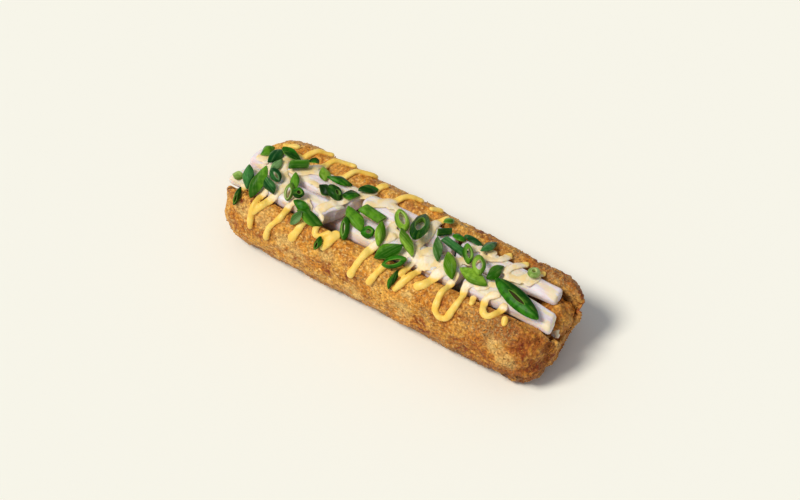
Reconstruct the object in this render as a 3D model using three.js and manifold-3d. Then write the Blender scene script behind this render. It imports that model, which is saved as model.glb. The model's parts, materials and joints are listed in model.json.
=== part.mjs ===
// Sushi hot dog: a fried, crumbed sushi roll split along its top and filled with crab sticks,
// with a zigzag of thick sauce and slices of spring onion over it.
// Millimetres. +X runs along the roll to the end with the wide cleft, +Y across it, +Z up,
// and the origin is at the middle of the footprint, on the table.

import * as THREE from "three";
import Module from "manifold-3d";
import { mergeVertices } from "three/addons/utils/BufferGeometryUtils.js";

const wasm = await Module();
wasm.setup();

// Driving dimensions.
const LENGTH = 181;
const WIDTH = 57;
const HEIGHT = 37;
const SPLIT_WIDTH = 28;
const SPLIT_FLOOR = 17;
const SPLIT_OFFSET = -0.6;
const SPLIT_DRIFT = 3;
const CRUST_RELIEF = 0.75;
const END_DOME = 2;
const GAP = 0.3;

// Height of the line that places on the skin are counted round, in degrees from the top towards +Y.
const AXIS_HEIGHT = 19;

const { degToRad, lerp, smoothstep } = THREE.MathUtils;

// A slow wave field: crust relief and every other unevenness is read from it.
function wave(x, y, z, wavelength, phase) {
  let sum = 0;
  for (let i = 1; i <= 5; i += 1) {
    const turn = 2.4 * i + phase;
    const lean = Math.cos(1.7 * i + phase);
    const flat = Math.sqrt(1 - lean * lean);
    const along = x * flat * Math.cos(turn) + y * flat * Math.sin(turn) + z * lean;
    sum += Math.sin((2 * Math.PI * along) / (wavelength * (0.8 + 0.1 * i)) + 1.3 * i);
  }
  return sum / 5;
}

// One point of a closed Catmull-Rom curve through the [y, z] points.
function curvePoint(points, span, t) {
  const n = points.length;
  const at = (i) => points[(i + n) % n];
  const [p0, p1, p2, p3] = [at(span - 1), at(span), at(span + 1), at(span + 2)];
  return [0, 1].map(
    (k) =>
      0.5 *
      (2 * p1[k] +
        (p2[k] - p0[k]) * t +
        (2 * p0[k] - 5 * p1[k] + 4 * p2[k] - p3[k]) * t * t +
        (3 * p1[k] - p0[k] - 3 * p2[k] + p3[k]) * t * t * t),
  );
}

function curveThrough(points) {
  return new THREE.CatmullRomCurve3(points.map((p) => new THREE.Vector3(...p)));
}

// A solid skinned over rings of points, each ring running the same way round. An end is closed by a
// band that joins each point of its ring to the one across, so that a ring bent into a U is closed too.
// With matched, the two halves of a ring are the two faces of a thin piece, and are split into triangles
// alike.
function loft(rings, matched = false) {
  const count = rings[0].length;
  const half = Math.floor(count / 2);
  const faces = [];
  for (let i = 0; i + 1 < rings.length; i += 1) {
    for (let j = 0; j < count; j += 1) {
      const [a, b] = [i * count + j, i * count + ((j + 1) % count)];
      const [c, d] = [a + count, b + count];
      const turned = matched && j >= half ? 1 : 0;
      faces.push(...((i + j + turned) % 2 ? [a, b, d, a, d, c] : [a, b, c, b, d, c]));
    }
  }
  const close = (first, from, to, flip) => {
    const face = (...corners) => {
      const around = corners.map((corner) => first + (corner % count));
      faces.push(...(flip ? around.reverse() : around));
    };
    for (let [j, k] = [from, to]; j + 1 < k; [j, k] = [j + 1, k - 1]) {
      face(j, j + 1, k);
      if (k - j > 2) face(j + 1, k - 1, k);
    }
  };
  for (const index of [0, rings.length - 1]) {
    close(index * count, 0, half, index === 0);
    close(index * count, half, count, index === 0);
  }
  return meshOf(rings.flat(), faces);
}

function meshOf(points, faces) {
  const geometry = new THREE.BufferGeometry().setFromPoints(points);
  geometry.setIndex(faces);
  return geometry;
}

// A geometry as a solid that can be joined and cut, and a solid as a geometry.
function solidOf(geometry) {
  const bare = new THREE.BufferGeometry();
  bare.setAttribute("position", geometry.getAttribute("position"));
  bare.setIndex(geometry.index);
  const merged = mergeVertices(bare, 1e-4);
  return new wasm.Manifold(
    new wasm.Mesh({
      numProp: 3,
      vertProperties: new Float32Array(merged.attributes.position.array),
      triVerts: new Uint32Array(merged.index.array),
    }),
  );
}

function geometryOf(solid) {
  const { numProp, vertProperties, triVerts } = solid.getMesh();
  const positions = new Float32Array((vertProperties.length / numProp) * 3);
  for (let i = 0; i < positions.length / 3; i += 1) {
    positions.set(vertProperties.subarray(i * numProp, i * numProp + 3), i * 3);
  }
  const geometry = new THREE.BufferGeometry();
  geometry.setAttribute("position", new THREE.BufferAttribute(positions, 3));
  geometry.setIndex(new THREE.BufferAttribute(new Uint32Array(triVerts), 1));
  return geometry;
}

function unionOf(solids) {
  return solids.reduce((whole, solid) => whole.add(solid));
}

// The largest closed body of a solid: loose scraps and sealed hollows are dropped.
function largestBody(solid) {
  const bodies = solid.decompose();
  return bodies.reduce((best, body) => (body.volume() > best.volume() ? body : best));
}

// The fried roll.

const ROLL_STATIONS = 28;
const ROLL_STEPS = 2;
const CLEFT = { middle: 0.6, narrower: 1, lean: -6.5, deeper: 4, bed: [0.6, 0.3] };
const ENDS = {
  far: { reach: 18, inset: 13, slant: { sole: 3.5, top: 3.5 }, undercut: 0 },
  near: { reach: 18, inset: 13, slant: { sole: -6, top: 4 }, undercut: 5.5 },
};
const LIP = 6.5;
const RIM = { core: 8, share: 0.5 };
const CRAGS = { broad: 13, fine: 8, nearEnd: 1.7, inside: 0.1 };

// How far the skin is drawn in at x, over the rounded stretch at each end.
function endInset(x) {
  const { reach, inset } = x < 0 ? ENDS.far : ENDS.near;
  const into = Math.max(0, 1 - (LENGTH / 2 - Math.abs(x)) / reach);
  return inset * (1 - Math.sqrt(1 - Math.min(1, into) ** 2));
}

// How far the ends are cut aslant and undercut: the shift along X of a point at x, y, z.
function endSlant(x, y, z) {
  const { slant, undercut } = x < 0 ? ENDS.far : ENDS.near;
  const lean = lerp(slant.sole, slant.top, z / HEIGHT);
  const aslant = ((lean * y) / (WIDTH / 2)) * smoothstep(Math.abs(x), LENGTH / 2 - 45, LENGTH / 2);
  const under = undercut * (1 - z / HEIGHT) * smoothstep(Math.abs(x), LENGTH / 2 - 20, LENGTH / 2);
  return aslant - Math.sign(x) * under;
}

// The split at x: the middle and half width of its mouth and of its bed, and its floor. At the near end
// it turns into a cleft, steep on the -Y side and open on the other.
function split(x) {
  const nearEnd = smoothstep(x, LENGTH / 2 - 30, LENGTH / 2);
  const middle = SPLIT_OFFSET + SPLIT_DRIFT * (x / (LENGTH / 2)) + CLEFT.middle * nearEnd;
  const widest = WIDTH / 2 - endInset(x) - LIP;
  const mouth = Math.min(SPLIT_WIDTH / 2 - CLEFT.narrower * nearEnd, widest);
  return {
    middle,
    mouth,
    bedMiddle: middle + CLEFT.lean * nearEnd,
    bed: lerp(...CLEFT.bed, nearEnd) * mouth,
    floor: SPLIT_FLOOR - CLEFT.deeper * nearEnd,
  };
}

// The flank from the sole to the shoulder, as shares of the half width and of the height.
const FLANK = [[0.38, 0], [0.76, 0.02], [0.96, 0.27], [1, 0.52], [0.93, 0.8]];

// The outline of the roll's section at x: [y, z] points round it from the middle of the sole, up the
// side towards +Y, down into the split and back the same way on the other side.
const SPLIT_POINTS = { first: 7, last: 15 };
function outline(x) {
  const drawnIn = endInset(x);
  const half = WIDTH / 2 - drawnIn;
  const top = HEIGHT - 0.75 * drawnIn;
  const sole = 0.8 * drawnIn;
  const { middle, mouth, bedMiddle, bed, floor } = split(x);
  const tall = top - sole;
  const side = (s) => [
    ...FLANK.map(([out, up]) => [s * half * out, sole + up * tall]),
    [lerp(middle + s * mouth, s * half, 0.45), top],
    [middle + s * (mouth + 1.5), top - 1],
    [middle + s * (mouth - 0.5), lerp(floor, top, 0.62)],
    [bedMiddle + s * bed, floor + 3],
    [bedMiddle + s * bed * 0.55, floor],
  ];
  return [[0, sole], ...side(1), [bedMiddle, floor], ...side(-1).reverse()];
}

// The section at x with the crust's crags, larger towards the near end, as points in space.
function rollSection(x) {
  const points = outline(x);
  const craggy = CRUST_RELIEF * lerp(1, CRAGS.nearEnd, smoothstep(x, LENGTH / 4, LENGTH / 2 - 10));
  const ring = [];
  for (let span = 0; span < points.length; span += 1) {
    const inside = span >= SPLIT_POINTS.first && span < SPLIT_POINTS.last;
    for (let step = 0; step < ROLL_STEPS; step += 1) {
      const [y, z] = curvePoint(points, span, step / ROLL_STEPS);
      const [ahead, above] = curvePoint(points, span, step / ROLL_STEPS + 0.02);
      const size = Math.hypot(ahead - y, above - z);
      const lift = wave(x, y, z, CRAGS.broad, 0.4) + 0.6 * wave(x, y, z, CRAGS.fine, 2.1);
      const off = craggy * lift * smoothstep(z, 0.5, 5) * (inside ? CRAGS.inside : 1);
      const outY = (above - z) / size;
      const outZ = (y - ahead) / size;
      ring.push(new THREE.Vector3(x + endSlant(x, y, z), y + outY * off, Math.max(0, z + outZ * off)));
    }
  }
  return ring;
}

// Stations along X, closer together on the rounded ends.
const rollStations = Array.from({ length: ROLL_STATIONS + 1 }, (_, i) => {
  const t = (2 * i) / ROLL_STATIONS - 1;
  return (LENGTH / 2) * lerp(t, Math.sin((Math.PI / 2) * t), 0.6);
});

// The rim of an end: its last ring pushed out and drawn in towards the middle of the wall it closes.
function rimOf(ring, outward) {
  const half = ring.length / 2;
  const push = new THREE.Vector3(outward * END_DOME, 0, 0);
  return ring.map((point, k) => {
    const side = k < half ? 0 : half;
    const place = Math.min(k - side, side + half - k, RIM.core);
    const core = ring[side + place].clone().lerp(ring[(side + half - place) % ring.length], 0.5);
    return point.clone().lerp(core, RIM.share).add(push);
  });
}

const rollRings = rollStations.map(rollSection);
const rims = [rimOf(rollRings[0], -1), rimOf(rollRings[rollRings.length - 1], 1)];
const bareRoll = solidOf(loft([rims[0], ...rollRings, rims[1]]));

// The sheet of nori that lines the split, a thin trough a gap inside its walls.

const NORI = { from: -86, to: 64, thickness: 0.8, stations: 8, clear: 0.7 };
const NORI_PLACES = [0, 0.6, 1.2, 1.7, 2.2, 2.7];

// The section is read off the roll's outline: places counted in spans from the middle of the floor,
// each moved off the wall by inset.
function noriSection(x) {
  const points = outline(x);
  const bottom = points.length / 2;
  const off = (place, inset) => {
    const span = Math.floor(bottom + place);
    const t = bottom + place - span;
    const [y, z] = curvePoint(points, span, t);
    const [ahead, above] = curvePoint(points, span, t + 0.02);
    const size = Math.hypot(ahead - y, above - z);
    return new THREE.Vector3(x, y + ((above - z) / size) * inset, z + ((y - ahead) / size) * inset);
  };
  const [wall, face] = [NORI.clear, NORI.clear + NORI.thickness];
  const right = NORI_PLACES.map((place) => -place);
  return [
    ...right.map((place) => off(place, wall)),
    ...right.map((place) => off(place, face)).reverse(),
    ...NORI_PLACES.slice(1).map((place) => off(place, face)),
    ...NORI_PLACES.slice(1).map((place) => off(place, wall)).reverse(),
  ];
}

const noriStations = Array.from({ length: NORI.stations + 1 }, (_, i) =>
  lerp(NORI.from, NORI.to, i / NORI.stations),
);
const nori = solidOf(loft(noriStations.map(noriSection)));

// The crab sticks: two upper rows that stand above the lips, on a lower row that shows at the near end.
// A path is [x, y from the middle of the split, z] of the stick's centre line, and cut says how far the
// end faces lean, in mm over the stick's width.

const STICKS = {
  far_1: {
    path: [[-88, 6.6, 35.2], [-60, 6.7, 36.2], [-31, 6.8, 35.8]],
    wide: [12, 12.6],
    tall: [9.6, 10],
    cut: 3,
  },
  far_2: {
    path: [[-28, 6.8, 36], [0, 6.8, 36.4], [23, 6.7, 35.8]],
    wide: [12.6, 12.2],
    tall: [10.4, 10],
    cut: -3,
  },
  far_3: {
    path: [[26, 6.7, 36], [55, 6.7, 36.6], [81, 6.4, 36.6]],
    wide: [12.4, 8.4],
    tall: [10, 6.4],
    cut: -1,
  },
  near_1: {
    path: [[-89, -6.4, 34.8], [-60, -6.8, 36.4], [-37, -6.7, 36.8]],
    wide: [11.6, 12.6],
    tall: [9, 10],
    cut: 8,
  },
  near_2: {
    path: [[-26, -6.8, 35.4], [0, -6.8, 36.2], [34, -6.8, 36]],
    wide: [12.4, 12.4],
    tall: [10, 10],
    cut: 3,
  },
  near_3: {
    path: [[38, -6.8, 36.2], [65, -6.6, 36], [86, -7.6, 34.2]],
    wide: [12.4, 9.6],
    tall: [10, 8.4],
    cut: -2,
  },
  lower_far: {
    path: [[-84, 0, 24.6], [-40, 0.4, 24.8], [0, 0, 24.6]],
    wide: [13, 13.5],
    tall: [11.4, 11.6],
    cut: 1,
  },
  lower_near: {
    path: [[2, 0, 24.6], [50, 0.2, 24.6], [87, -1, 23.8]],
    wide: [13.5, 8.5],
    tall: [11.4, 9],
    cut: -2,
  },
};
const STICK_SIDES = 10;
const STICK_STEP = 9;
const STICK_SQUARENESS = 3;
const STICK_BEVEL = 1.6;
const STICK_TIP = 0.84;
const STICK_UNEVEN = 0.035;

// A stick as a loft, grown outwards by grow millimetres.
function stick({ path, wide, tall, cut }, phase, grow = 0) {
  const curve = curveThrough(path.map(([x, y, z]) => [x, y + split(x).middle, z]));
  const long = curve.getLength();
  const steps = Math.max(3, Math.round(long / STICK_STEP));
  const ends = [0, STICK_BEVEL / long];
  const inner = Array.from({ length: steps - 1 }, (_, i) => (i + 1) / steps);
  const stations = [...ends, ...inner, 1 - ends[1], 1];
  return loft(
    stations.map((t, i) => {
      const centre = curve.getPointAt(t);
      const [width, depth] = [lerp(...wide, t), lerp(...tall, t)];
      const tip = i === 0 || i === stations.length - 1;
      const push = tip ? Math.sign(t - 0.5) * grow : 0;
      const ring = [];
      for (let k = 0; k < STICK_SIDES; k += 1) {
        const turn = (2 * Math.PI * k) / STICK_SIDES;
        const [c, s] = [Math.cos(turn), Math.sin(turn)];
        const power = Math.abs(c) ** STICK_SQUARENESS + Math.abs(s) ** STICK_SQUARENESS;
        const round = power ** (-1 / STICK_SQUARENESS);
        const uneven = 1 + STICK_UNEVEN * wave(centre.x, 9 * c, 9 * s, 17, phase);
        const size = round * uneven * (tip ? STICK_TIP : 1);
        const across = c * (size * (width / 2) + grow);
        const up = s * (size * (depth / 2) + grow);
        const lean = (across / width) * cut * Math.abs(2 * t - 1) ** 3;
        ring.push(new THREE.Vector3(centre.x + push + lean, centre.y + across, centre.z + up));
      }
      return ring;
    }),
  );
}

const stickNames = Object.keys(STICKS);
const bareSticks = stickNames.map((name, i) => solidOf(stick(STICKS[name], i)));
const grownSticks = stickNames.map((name, i) => solidOf(stick(STICKS[name], i, GAP)));

// A crag of crust that stands up from the wall between the upper sticks at the near end.

const CRAG = { at: [81, 5, 26], half: [7, 9, 9], uneven: 0.12 };
function crag() {
  const geometry = new THREE.IcosahedronGeometry(1, 0);
  const position = geometry.getAttribute("position");
  const point = new THREE.Vector3();
  for (let i = 0; i < position.count; i += 1) {
    point.fromBufferAttribute(position, i);
    point.multiplyScalar(1 + CRAG.uneven * wave(point.x, point.y, point.z, 1.3, 0.8));
    position.setXYZ(i, point.x, point.y, point.z);
  }
  geometry.scale(...CRAG.half).translate(...CRAG.at);
  return grownSticks.reduce((rest, grown) => rest.subtract(grown), solidOf(geometry));
}
const roll = largestBody(bareRoll.add(crag()));

// The sauce: strands that run over the skin through places [x, degrees round]. Each stretch is fused
// to the piece it lies on and stays clear of the others.

const SAUCE = {
  step: 4.8,
  sides: 5,
  thick: { roll: 2.8, filling: 1.9 },
  widthOnFilling: 1.5,
  sunk: 0.3,
  tip: 0.45,
  swell: 0.12,
  mmPerDegree: 0.45,
};
const STRANDS = [
  { wide: 3, places: [[-85, -48], [-80, -38]] },
  { wide: 3.2, places: [[-71, -33], [-73, -48], [-73, -63], [-72, -80]] },
  { wide: 3.6, places: [[-70, 38], [-73, 12], [-70, -4], [-65, -16], [-66, -35], [-70, -53], [-73, -62]] },
  { wide: 3.2, places: [[-54, -28], [-57, -38], [-58, -52], [-62, -67], [-63, -84]] },
  { wide: 4.2, places: [[-54, -24], [-47, -36], [-47, -52], [-50, -70]] },
  { wide: 3.4, places: [[-40, -30], [-40, -44], [-38, -52], [-35, -50], [-31, -42]] },
  { wide: 4.4, places: [[-28, -38], [-30, -50], [-33, -63]] },
  { wide: 4, places: [[-3, -12], [-9, -33], [-12, -52], [-15, -76]] },
  { wide: 3.8, places: [[1, -44], [-1, -54], [-5, -74]] },
  { wide: 3, places: [[13, -24], [11, -38], [9, -51]] },
  { wide: 3.6, places: [[17, -34], [13, -51], [9, -67]] },
  { wide: 4.6, places: [[30, -14], [27, -25], [25, -34], [23, -45], [18, -54]] },
  {
    wide: 3.6,
    places: [
      [33, -16], [33, -34], [32, -51], [33, -63], [36, -68],
      [39, -67], [41, -56], [42, -42], [41, -29], [44, -16],
    ],
  },
  { wide: 3, places: [[46, -33], [48, -46]] },
  { wide: 3.6, places: [[58, -17], [53, -29], [54, -42], [58, -46], [61, -40], [63, -24]] },
  { wide: 3.6, places: [[66, -37], [68, -48]] },
  { wide: 3.6, places: [[-81, 38], [-72, 42]] },
  { wide: 3.4, places: [[-69, 30], [-65, 45], [-60, 54], [-57, 58]] },
  { wide: 3.6, places: [[-68, 0], [-62, 12], [-57, 32], [-54, 46], [-48, 56], [-44, 58]] },
  { wide: 3.6, places: [[-47, 30], [-41, 48], [-35, 58], [-34, 66]] },
  { wide: 4.2, places: [[-44, -32], [-39, -12], [-34, 8], [-28, 26], [-27, 42], [-24, 52]] },
  { wide: 4.4, places: [[-26, 6], [-19, 18], [-15, 40], [-9, 53], [-5, 57]] },
  { wide: 3.2, places: [[-7, -18], [-8, -3], [-5, 10]] },
  { wide: 3.8, places: [[1, 42], [6, 56]] },
  { wide: 3.8, places: [[12, 47], [9, 38], [10, 13], [9, -6], [10, -22]] },
  { wide: 3.8, places: [[15, -28], [25, -15], [33, 4], [40, 17], [47, 26], [48, 46]] },
  { wide: 3.4, places: [[45, -26], [51, -14]] },
  { wide: 4, places: [[51, 10], [55, 28], [58, 47]] },
  { wide: 4, places: [[53, 6], [62, 18], [65, 34], [68, 46]] },
];

// Where a ray towards the roll's axis first meets a piece: the point, the piece's number and the way up.
const carriers = [roll, ...bareSticks];
const carrierMeshes = carriers.map((solid) => {
  const mesh = new THREE.Mesh(geometryOf(solid));
  mesh.geometry.computeBoundingSphere();
  return mesh;
});
const raycaster = new THREE.Raycaster();
function skinAt(x, degrees, meshes = carrierMeshes) {
  const turn = degToRad(degrees);
  const up = new THREE.Vector3(0, Math.sin(turn), Math.cos(turn));
  const origin = new THREE.Vector3(x, 0, AXIS_HEIGHT).addScaledVector(up, 80);
  raycaster.set(origin, up.clone().negate());
  const [hit] = raycaster.intersectObjects(meshes, false);
  return { point: hit.point, carrier: meshes.indexOf(hit.object), up };
}

// A strand's samples along the skin, cut into runs that lie on one carrier each.
function strandRuns({ wide, places }) {
  const scale = SAUCE.mmPerDegree;
  const route = curveThrough(places.map(([x, degrees]) => [x, degrees * scale, 0]));
  const steps = Math.max(2, Math.ceil(route.getLength() / SAUCE.step));
  const samples = Array.from({ length: steps + 1 }, (_, i) => {
    const place = route.getPointAt(i / steps);
    const swell = 1 + SAUCE.swell * Math.sin(2.1 * i + places[0][0]);
    return { ...skinAt(place.x, place.y / scale), swell };
  });
  const runs = [];
  for (const sample of samples) {
    const run = runs[runs.length - 1];
    if (run && run.carrier === sample.carrier) {
      run.samples.push(sample);
    } else {
      runs.push({ carrier: sample.carrier, samples: [sample], wide });
    }
  }
  return runs.filter((run) => run.samples.length > 1);
}

function strandSolid({ samples, wide, carrier }, grow = 0) {
  const onRoll = carrier === 0;
  const width = wide * (onRoll ? 1 : SAUCE.widthOnFilling) + 2 * grow;
  const thick = onRoll ? SAUCE.thick.roll : SAUCE.thick.filling;
  const depth = thick + 2 * grow;
  const last = samples.length - 1;
  const ringAt = (index, ahead, size) => {
    const { point, up, swell } = samples[index];
    const before = samples[Math.max(0, index - 1)].point;
    const after = samples[Math.min(last, index + 1)].point;
    const along = after.clone().sub(before).normalize();
    const side = new THREE.Vector3().crossVectors(up, along).normalize();
    const top = new THREE.Vector3().crossVectors(along, side);
    const centre = point.clone().addScaledVector(along, ahead);
    centre.addScaledVector(top, thick * (0.5 - SAUCE.sunk));
    return Array.from({ length: SAUCE.sides }, (_, k) => {
      const turn = (2 * Math.PI * k) / SAUCE.sides;
      return centre
        .clone()
        .addScaledVector(side, (Math.cos(turn) * width * swell * size) / 2)
        .addScaledVector(top, (Math.sin(turn) * depth * size) / 2);
    });
  };
  const rings = samples.map((_, i) => ringAt(i, 0, 1));
  const tip = width / 3;
  return solidOf(loft([ringAt(0, -tip, SAUCE.tip), ...rings, ringAt(last, tip, SAUCE.tip)]));
}

const runs = STRANDS.flatMap(strandRuns);
const taken = [];
const saucedCarriers = carriers.map((solid, carrier) => {
  const own = runs.filter((run) => run.carrier === carrier);
  if (!own.length) return solid;
  const others = grownSticks.filter((_, i) => i + 1 !== carrier);
  const sauce = [...others, ...taken].reduce(
    (rest, grown) => rest.subtract(grown),
    unionOf(own.map((run) => strandSolid(run))),
  );
  taken.push(unionOf(own.map((run) => strandSolid(run, GAP))));
  return largestBody(solid.add(sauce));
});

// The slices of spring onion.

const SLICE_SIDES = 10;
const SLICE_WALL = 1.1;
const LEAF = { stations: 6, thick: 0.8, tip: 0.3, arch: 1.2, bend: 0.6 };

// A ring-like piece from the outer and the inner loop of each of its two faces.
function hollow(outerA, innerA, outerB, innerB) {
  const count = outerA.length;
  const loops = [outerA, outerB, innerB, innerA];
  const faces = [];
  for (let l = 0; l < 4; l += 1) {
    for (let j = 0; j < count; j += 1) {
      const next = (j + 1) % count;
      const [a, b] = [l * count + j, l * count + next];
      const [c, d] = [((l + 1) % 4) * count + j, ((l + 1) % 4) * count + next];
      faces.push(a, b, d, a, d, c);
    }
  }
  return meshOf(loops.flat(), faces);
}

// The kinds of slice, each lying flat at the origin with its length along X, grown by grow.
const SLICE_KINDS = {
  // A bias-cut ring: a pointed oval round an opening, given as shares of its length and width. The cut
  // leans the wall along its length.
  ring({ long, wide, tall = 2.6, open }, grow) {
    const loop = (share, out, z) =>
      Array.from({ length: SLICE_SIDES }, (_, k) => {
        const turn = (2 * Math.PI * k) / SLICE_SIDES;
        const [c, s] = [Math.cos(turn), Math.sin(turn)];
        const x = c * (share[0] * (long / 2) + out) + 0.9 * (z / tall - 0.5);
        const y = s * Math.abs(s) ** 0.35 * (share[1] * (wide / 2) + out);
        return new THREE.Vector3(x, y, z);
      });
    const [low, high] = [-grow, tall + grow];
    const inner = Math.min(grow, (open[1] * wide) / 4);
    const face = (z) => [loop([1, 1], grow, z), loop(open, -inner, z)];
    return hollow(...face(low), ...face(high));
  },
  // A piece of the green opened out: a thin pointed leaf, arched across and bent along. The lean moves
  // the widest places of its two sides apart along its length, as a bias cut does.
  leaf({ long, wide, lean = 0 }, grow) {
    const half = (t) => (wide / 2) * (1 - Math.abs(t) ** 1.8) ** 0.9 + LEAF.tip + grow;
    const rings = Array.from({ length: LEAF.stations }, (_, i) => {
      const t = (2 * i) / (LEAF.stations - 1) - 1;
      const leaning = lean * (1 - t * t);
      const [left, right] = [half(t + leaning), half(t - leaning)];
      const x = t * (long / 2 + grow);
      const lift = LEAF.bend * (1 - t * t);
      const ridge = lift + LEAF.arch * Math.sqrt(half(t) / (wide / 2 + LEAF.tip));
      return [
        [left, lift + LEAF.thick + grow],
        [0, ridge + LEAF.thick + grow],
        [-right, lift + LEAF.thick + grow],
        [-right, lift - grow],
        [0, ridge - grow],
        [left, lift - grow],
      ].map(([y, z]) => new THREE.Vector3(x, y, z));
    });
    return loft(rings, true);
  },
  // A short tube that lies on its side, cut on the bias, both ends open.
  tube({ long, wide, tall = 3.6 }, grow) {
    const loop = (end, inset) =>
      Array.from({ length: SLICE_SIDES }, (_, k) => {
        const turn = (2 * Math.PI * k) / SLICE_SIDES;
        const [c, s] = [Math.cos(turn), Math.sin(turn)];
        const out = Math.sign(0.1 - inset) * grow;
        const y = c * (wide / 2 - inset + out);
        const z = tall / 2 + s * (tall / 2 - inset + out);
        return new THREE.Vector3(end * (long / 2 + grow) + 0.35 * y, y, z);
      });
    return hollow(loop(-1, 0), loop(-1, SLICE_WALL), loop(1, 0), loop(1, SLICE_WALL));
  },
};

// Each slice: its kind and size, the place [x, degrees round] of its middle, how its length turns from
// +X, and how it tips sideways and lengthwise where it leans on the slices under it.
const SLICES = [
  ["leaf", { long: 9, wide: 5.5, lean: -0.3 }, [-83.5, 13], 72, 0, 0],
  ["leaf", { long: 12.5, wide: 5.5 }, [-78, 10], 82, 10, 0],
  ["leaf", { long: 11, wide: 6 }, [-72, 19], 2, 0, 12],
  ["tube", { long: 9.5, wide: 5 }, [-64.5, 9], 38, 0, 0],
  ["leaf", { long: 5.5, wide: 2.8 }, [-59, 18], 52, 0, 12],
  ["leaf", { long: 6, wide: 4 }, [-88, -35], 12, 0, 0],
  ["leaf", { long: 12, wide: 5.5 }, [-82.5, -31], -67, 0, 0],
  ["ring", { long: 9.5, wide: 3.2, open: [0.5, 0.35] }, [-82.8, -53], -88, 0, 0],
  ["leaf", { long: 17.5, wide: 6.5, lean: 0.15 }, [-76.2, -31], -89, 0, 0],
  ["leaf", { long: 9, wide: 3.5 }, [-74.5, -3], 80, 20, 0],
  ["ring", { long: 8.5, wide: 5.5, open: [0.5, 0.2] }, [-70.9, -16], -28, 0, 6],
  ["leaf", { long: 9, wide: 5, lean: -0.2 }, [-69.9, -29], -42, 0, 18],
  ["leaf", { long: 10.5, wide: 4.5 }, [-61, -12], -64, 15, 0],
  ["ring", { long: 9.5, wide: 4.8, open: [0.6, 0.45] }, [-60, -26], -71, 0, 0],
  ["ring", { long: 6, wide: 5.5, open: [0.4, 0.35] }, [-55, -23], 20, 0, 18],
  ["leaf", { long: 9.5, wide: 5.2 }, [-50.7, -32], -8, 20, 6],
  ["leaf", { long: 14.5, wide: 6, lean: 0.2 }, [-44.2, -39], -6, 5, 18],
  ["leaf", { long: 10, wide: 4 }, [-49.6, -44], -112, 0, 18],
  ["leaf", { long: 10.5, wide: 5.5, lean: 0.2 }, [-52.5, 20], 128, 0, 0],
  ["leaf", { long: 13, wide: 5 }, [-43.3, 17], 20, 0, 6],
  ["leaf", { long: 8, wide: 5.5, lean: 0.3 }, [-46.8, -1], -15, 0, 0],
  ["ring", { long: 9.5, wide: 7, tall: 3, open: [0.3, 0.3] }, [-41.5, 0], -24, -15, 18],
  ["leaf", { long: 9, wide: 6, lean: -0.25 }, [-33.9, 6], 45, 0, 12],
  ["leaf", { long: 10.5, wide: 6.5 }, [-29.5, 27], 50, 0, 0],
  ["leaf", { long: 15, wide: 7, lean: -0.2 }, [-25, -18], -34, 0, 0],
  ["ring", { long: 11.5, wide: 5.2, open: [0.55, 0.3] }, [-26.3, -33], -68, 10, 6],
  ["tube", { long: 11.5, wide: 6 }, [-19.3, -3.5], 0, -10, 12],
  ["ring", { long: 6.8, wide: 6.5, open: [0.45, 0.35] }, [-15.3, -25], 40, 5, 12],
  ["leaf", { long: 12.5, wide: 5 }, [-9.4, -21], -69, -20, 6],
  ["ring", { long: 7, wide: 3.6, open: [0.55, 0.35] }, [-34.5, -56], -90, 0, 0],
  ["ring", { long: 15, wide: 7, open: [0.55, 0.45] }, [-4.5, 6.5], -45, 0, 0],
  ["leaf", { long: 15.5, wide: 5, lean: -0.2 }, [4.7, -16], -40, 5, 6],
  ["leaf", { long: 16, wide: 7.5, lean: 0.2 }, [-0.8, -33], 48, 0, -6],
  ["ring", { long: 13.5, wide: 6.2, open: [0.6, 0.35] }, [5, -39], 38, 0, 0],
  ["leaf", { long: 11, wide: 3.5, lean: 0.3 }, [7, -56], -97, 0, 0],
  ["ring", { long: 25.5, wide: 9, tall: 3.2, open: [0.5, 0.45] }, [5.3, 7], -73, 0, -18],
  ["leaf", { long: 7.5, wide: 5.5, lean: -0.25 }, [13.5, 38], 70, 0, 0],
  ["tube", { long: 7.5, wide: 4.5, tall: 3 }, [16, 20], 50, 0, 0],
  ["leaf", { long: 14, wide: 4.5 }, [19, -5], -59, 0, 0],
  ["tube", { long: 12.5, wide: 4.5, tall: 3 }, [24.8, 7], 2, 0, 18],
  ["leaf", { long: 7, wide: 5.5, lean: 0.3 }, [23.5, 25], 12, 0, 0],
  ["leaf", { long: 11, wide: 5, lean: 0.2 }, [29.5, 33], -6, 0, 0],
  ["ring", { long: 11, wide: 5.5, open: [0.5, 0.45] }, [33, 6], -55, -15, 18],
  ["leaf", { long: 14.5, wide: 5, lean: -0.25 }, [38.5, 30], 84, 0, 0],
  ["leaf", { long: 14.5, wide: 6 }, [29, -16], -52, 0, 0],
  ["leaf", { long: 16.5, wide: 6.5 }, [42, -15], -6, 0, 0],
  ["ring", { long: 12, wide: 6.8, tall: 2, open: [0.5, 0.45] }, [41.8, -2.2], -57, 0, 0],
  ["leaf", { long: 11.5, wide: 6.5, lean: -0.3 }, [49.3, 4], 75, 0, 0],
  ["ring", { long: 9.5, wide: 6.5, open: [0.4, 0.35] }, [65, 27], -83, 0, 0],
  ["ring", { long: 31, wide: 9.5, tall: 2.6, open: [0.4, 0.22] }, [67, -15], -16, 0, 0],
];

const DROP = { from: 50, to: 12, step: 0.3 };

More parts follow.
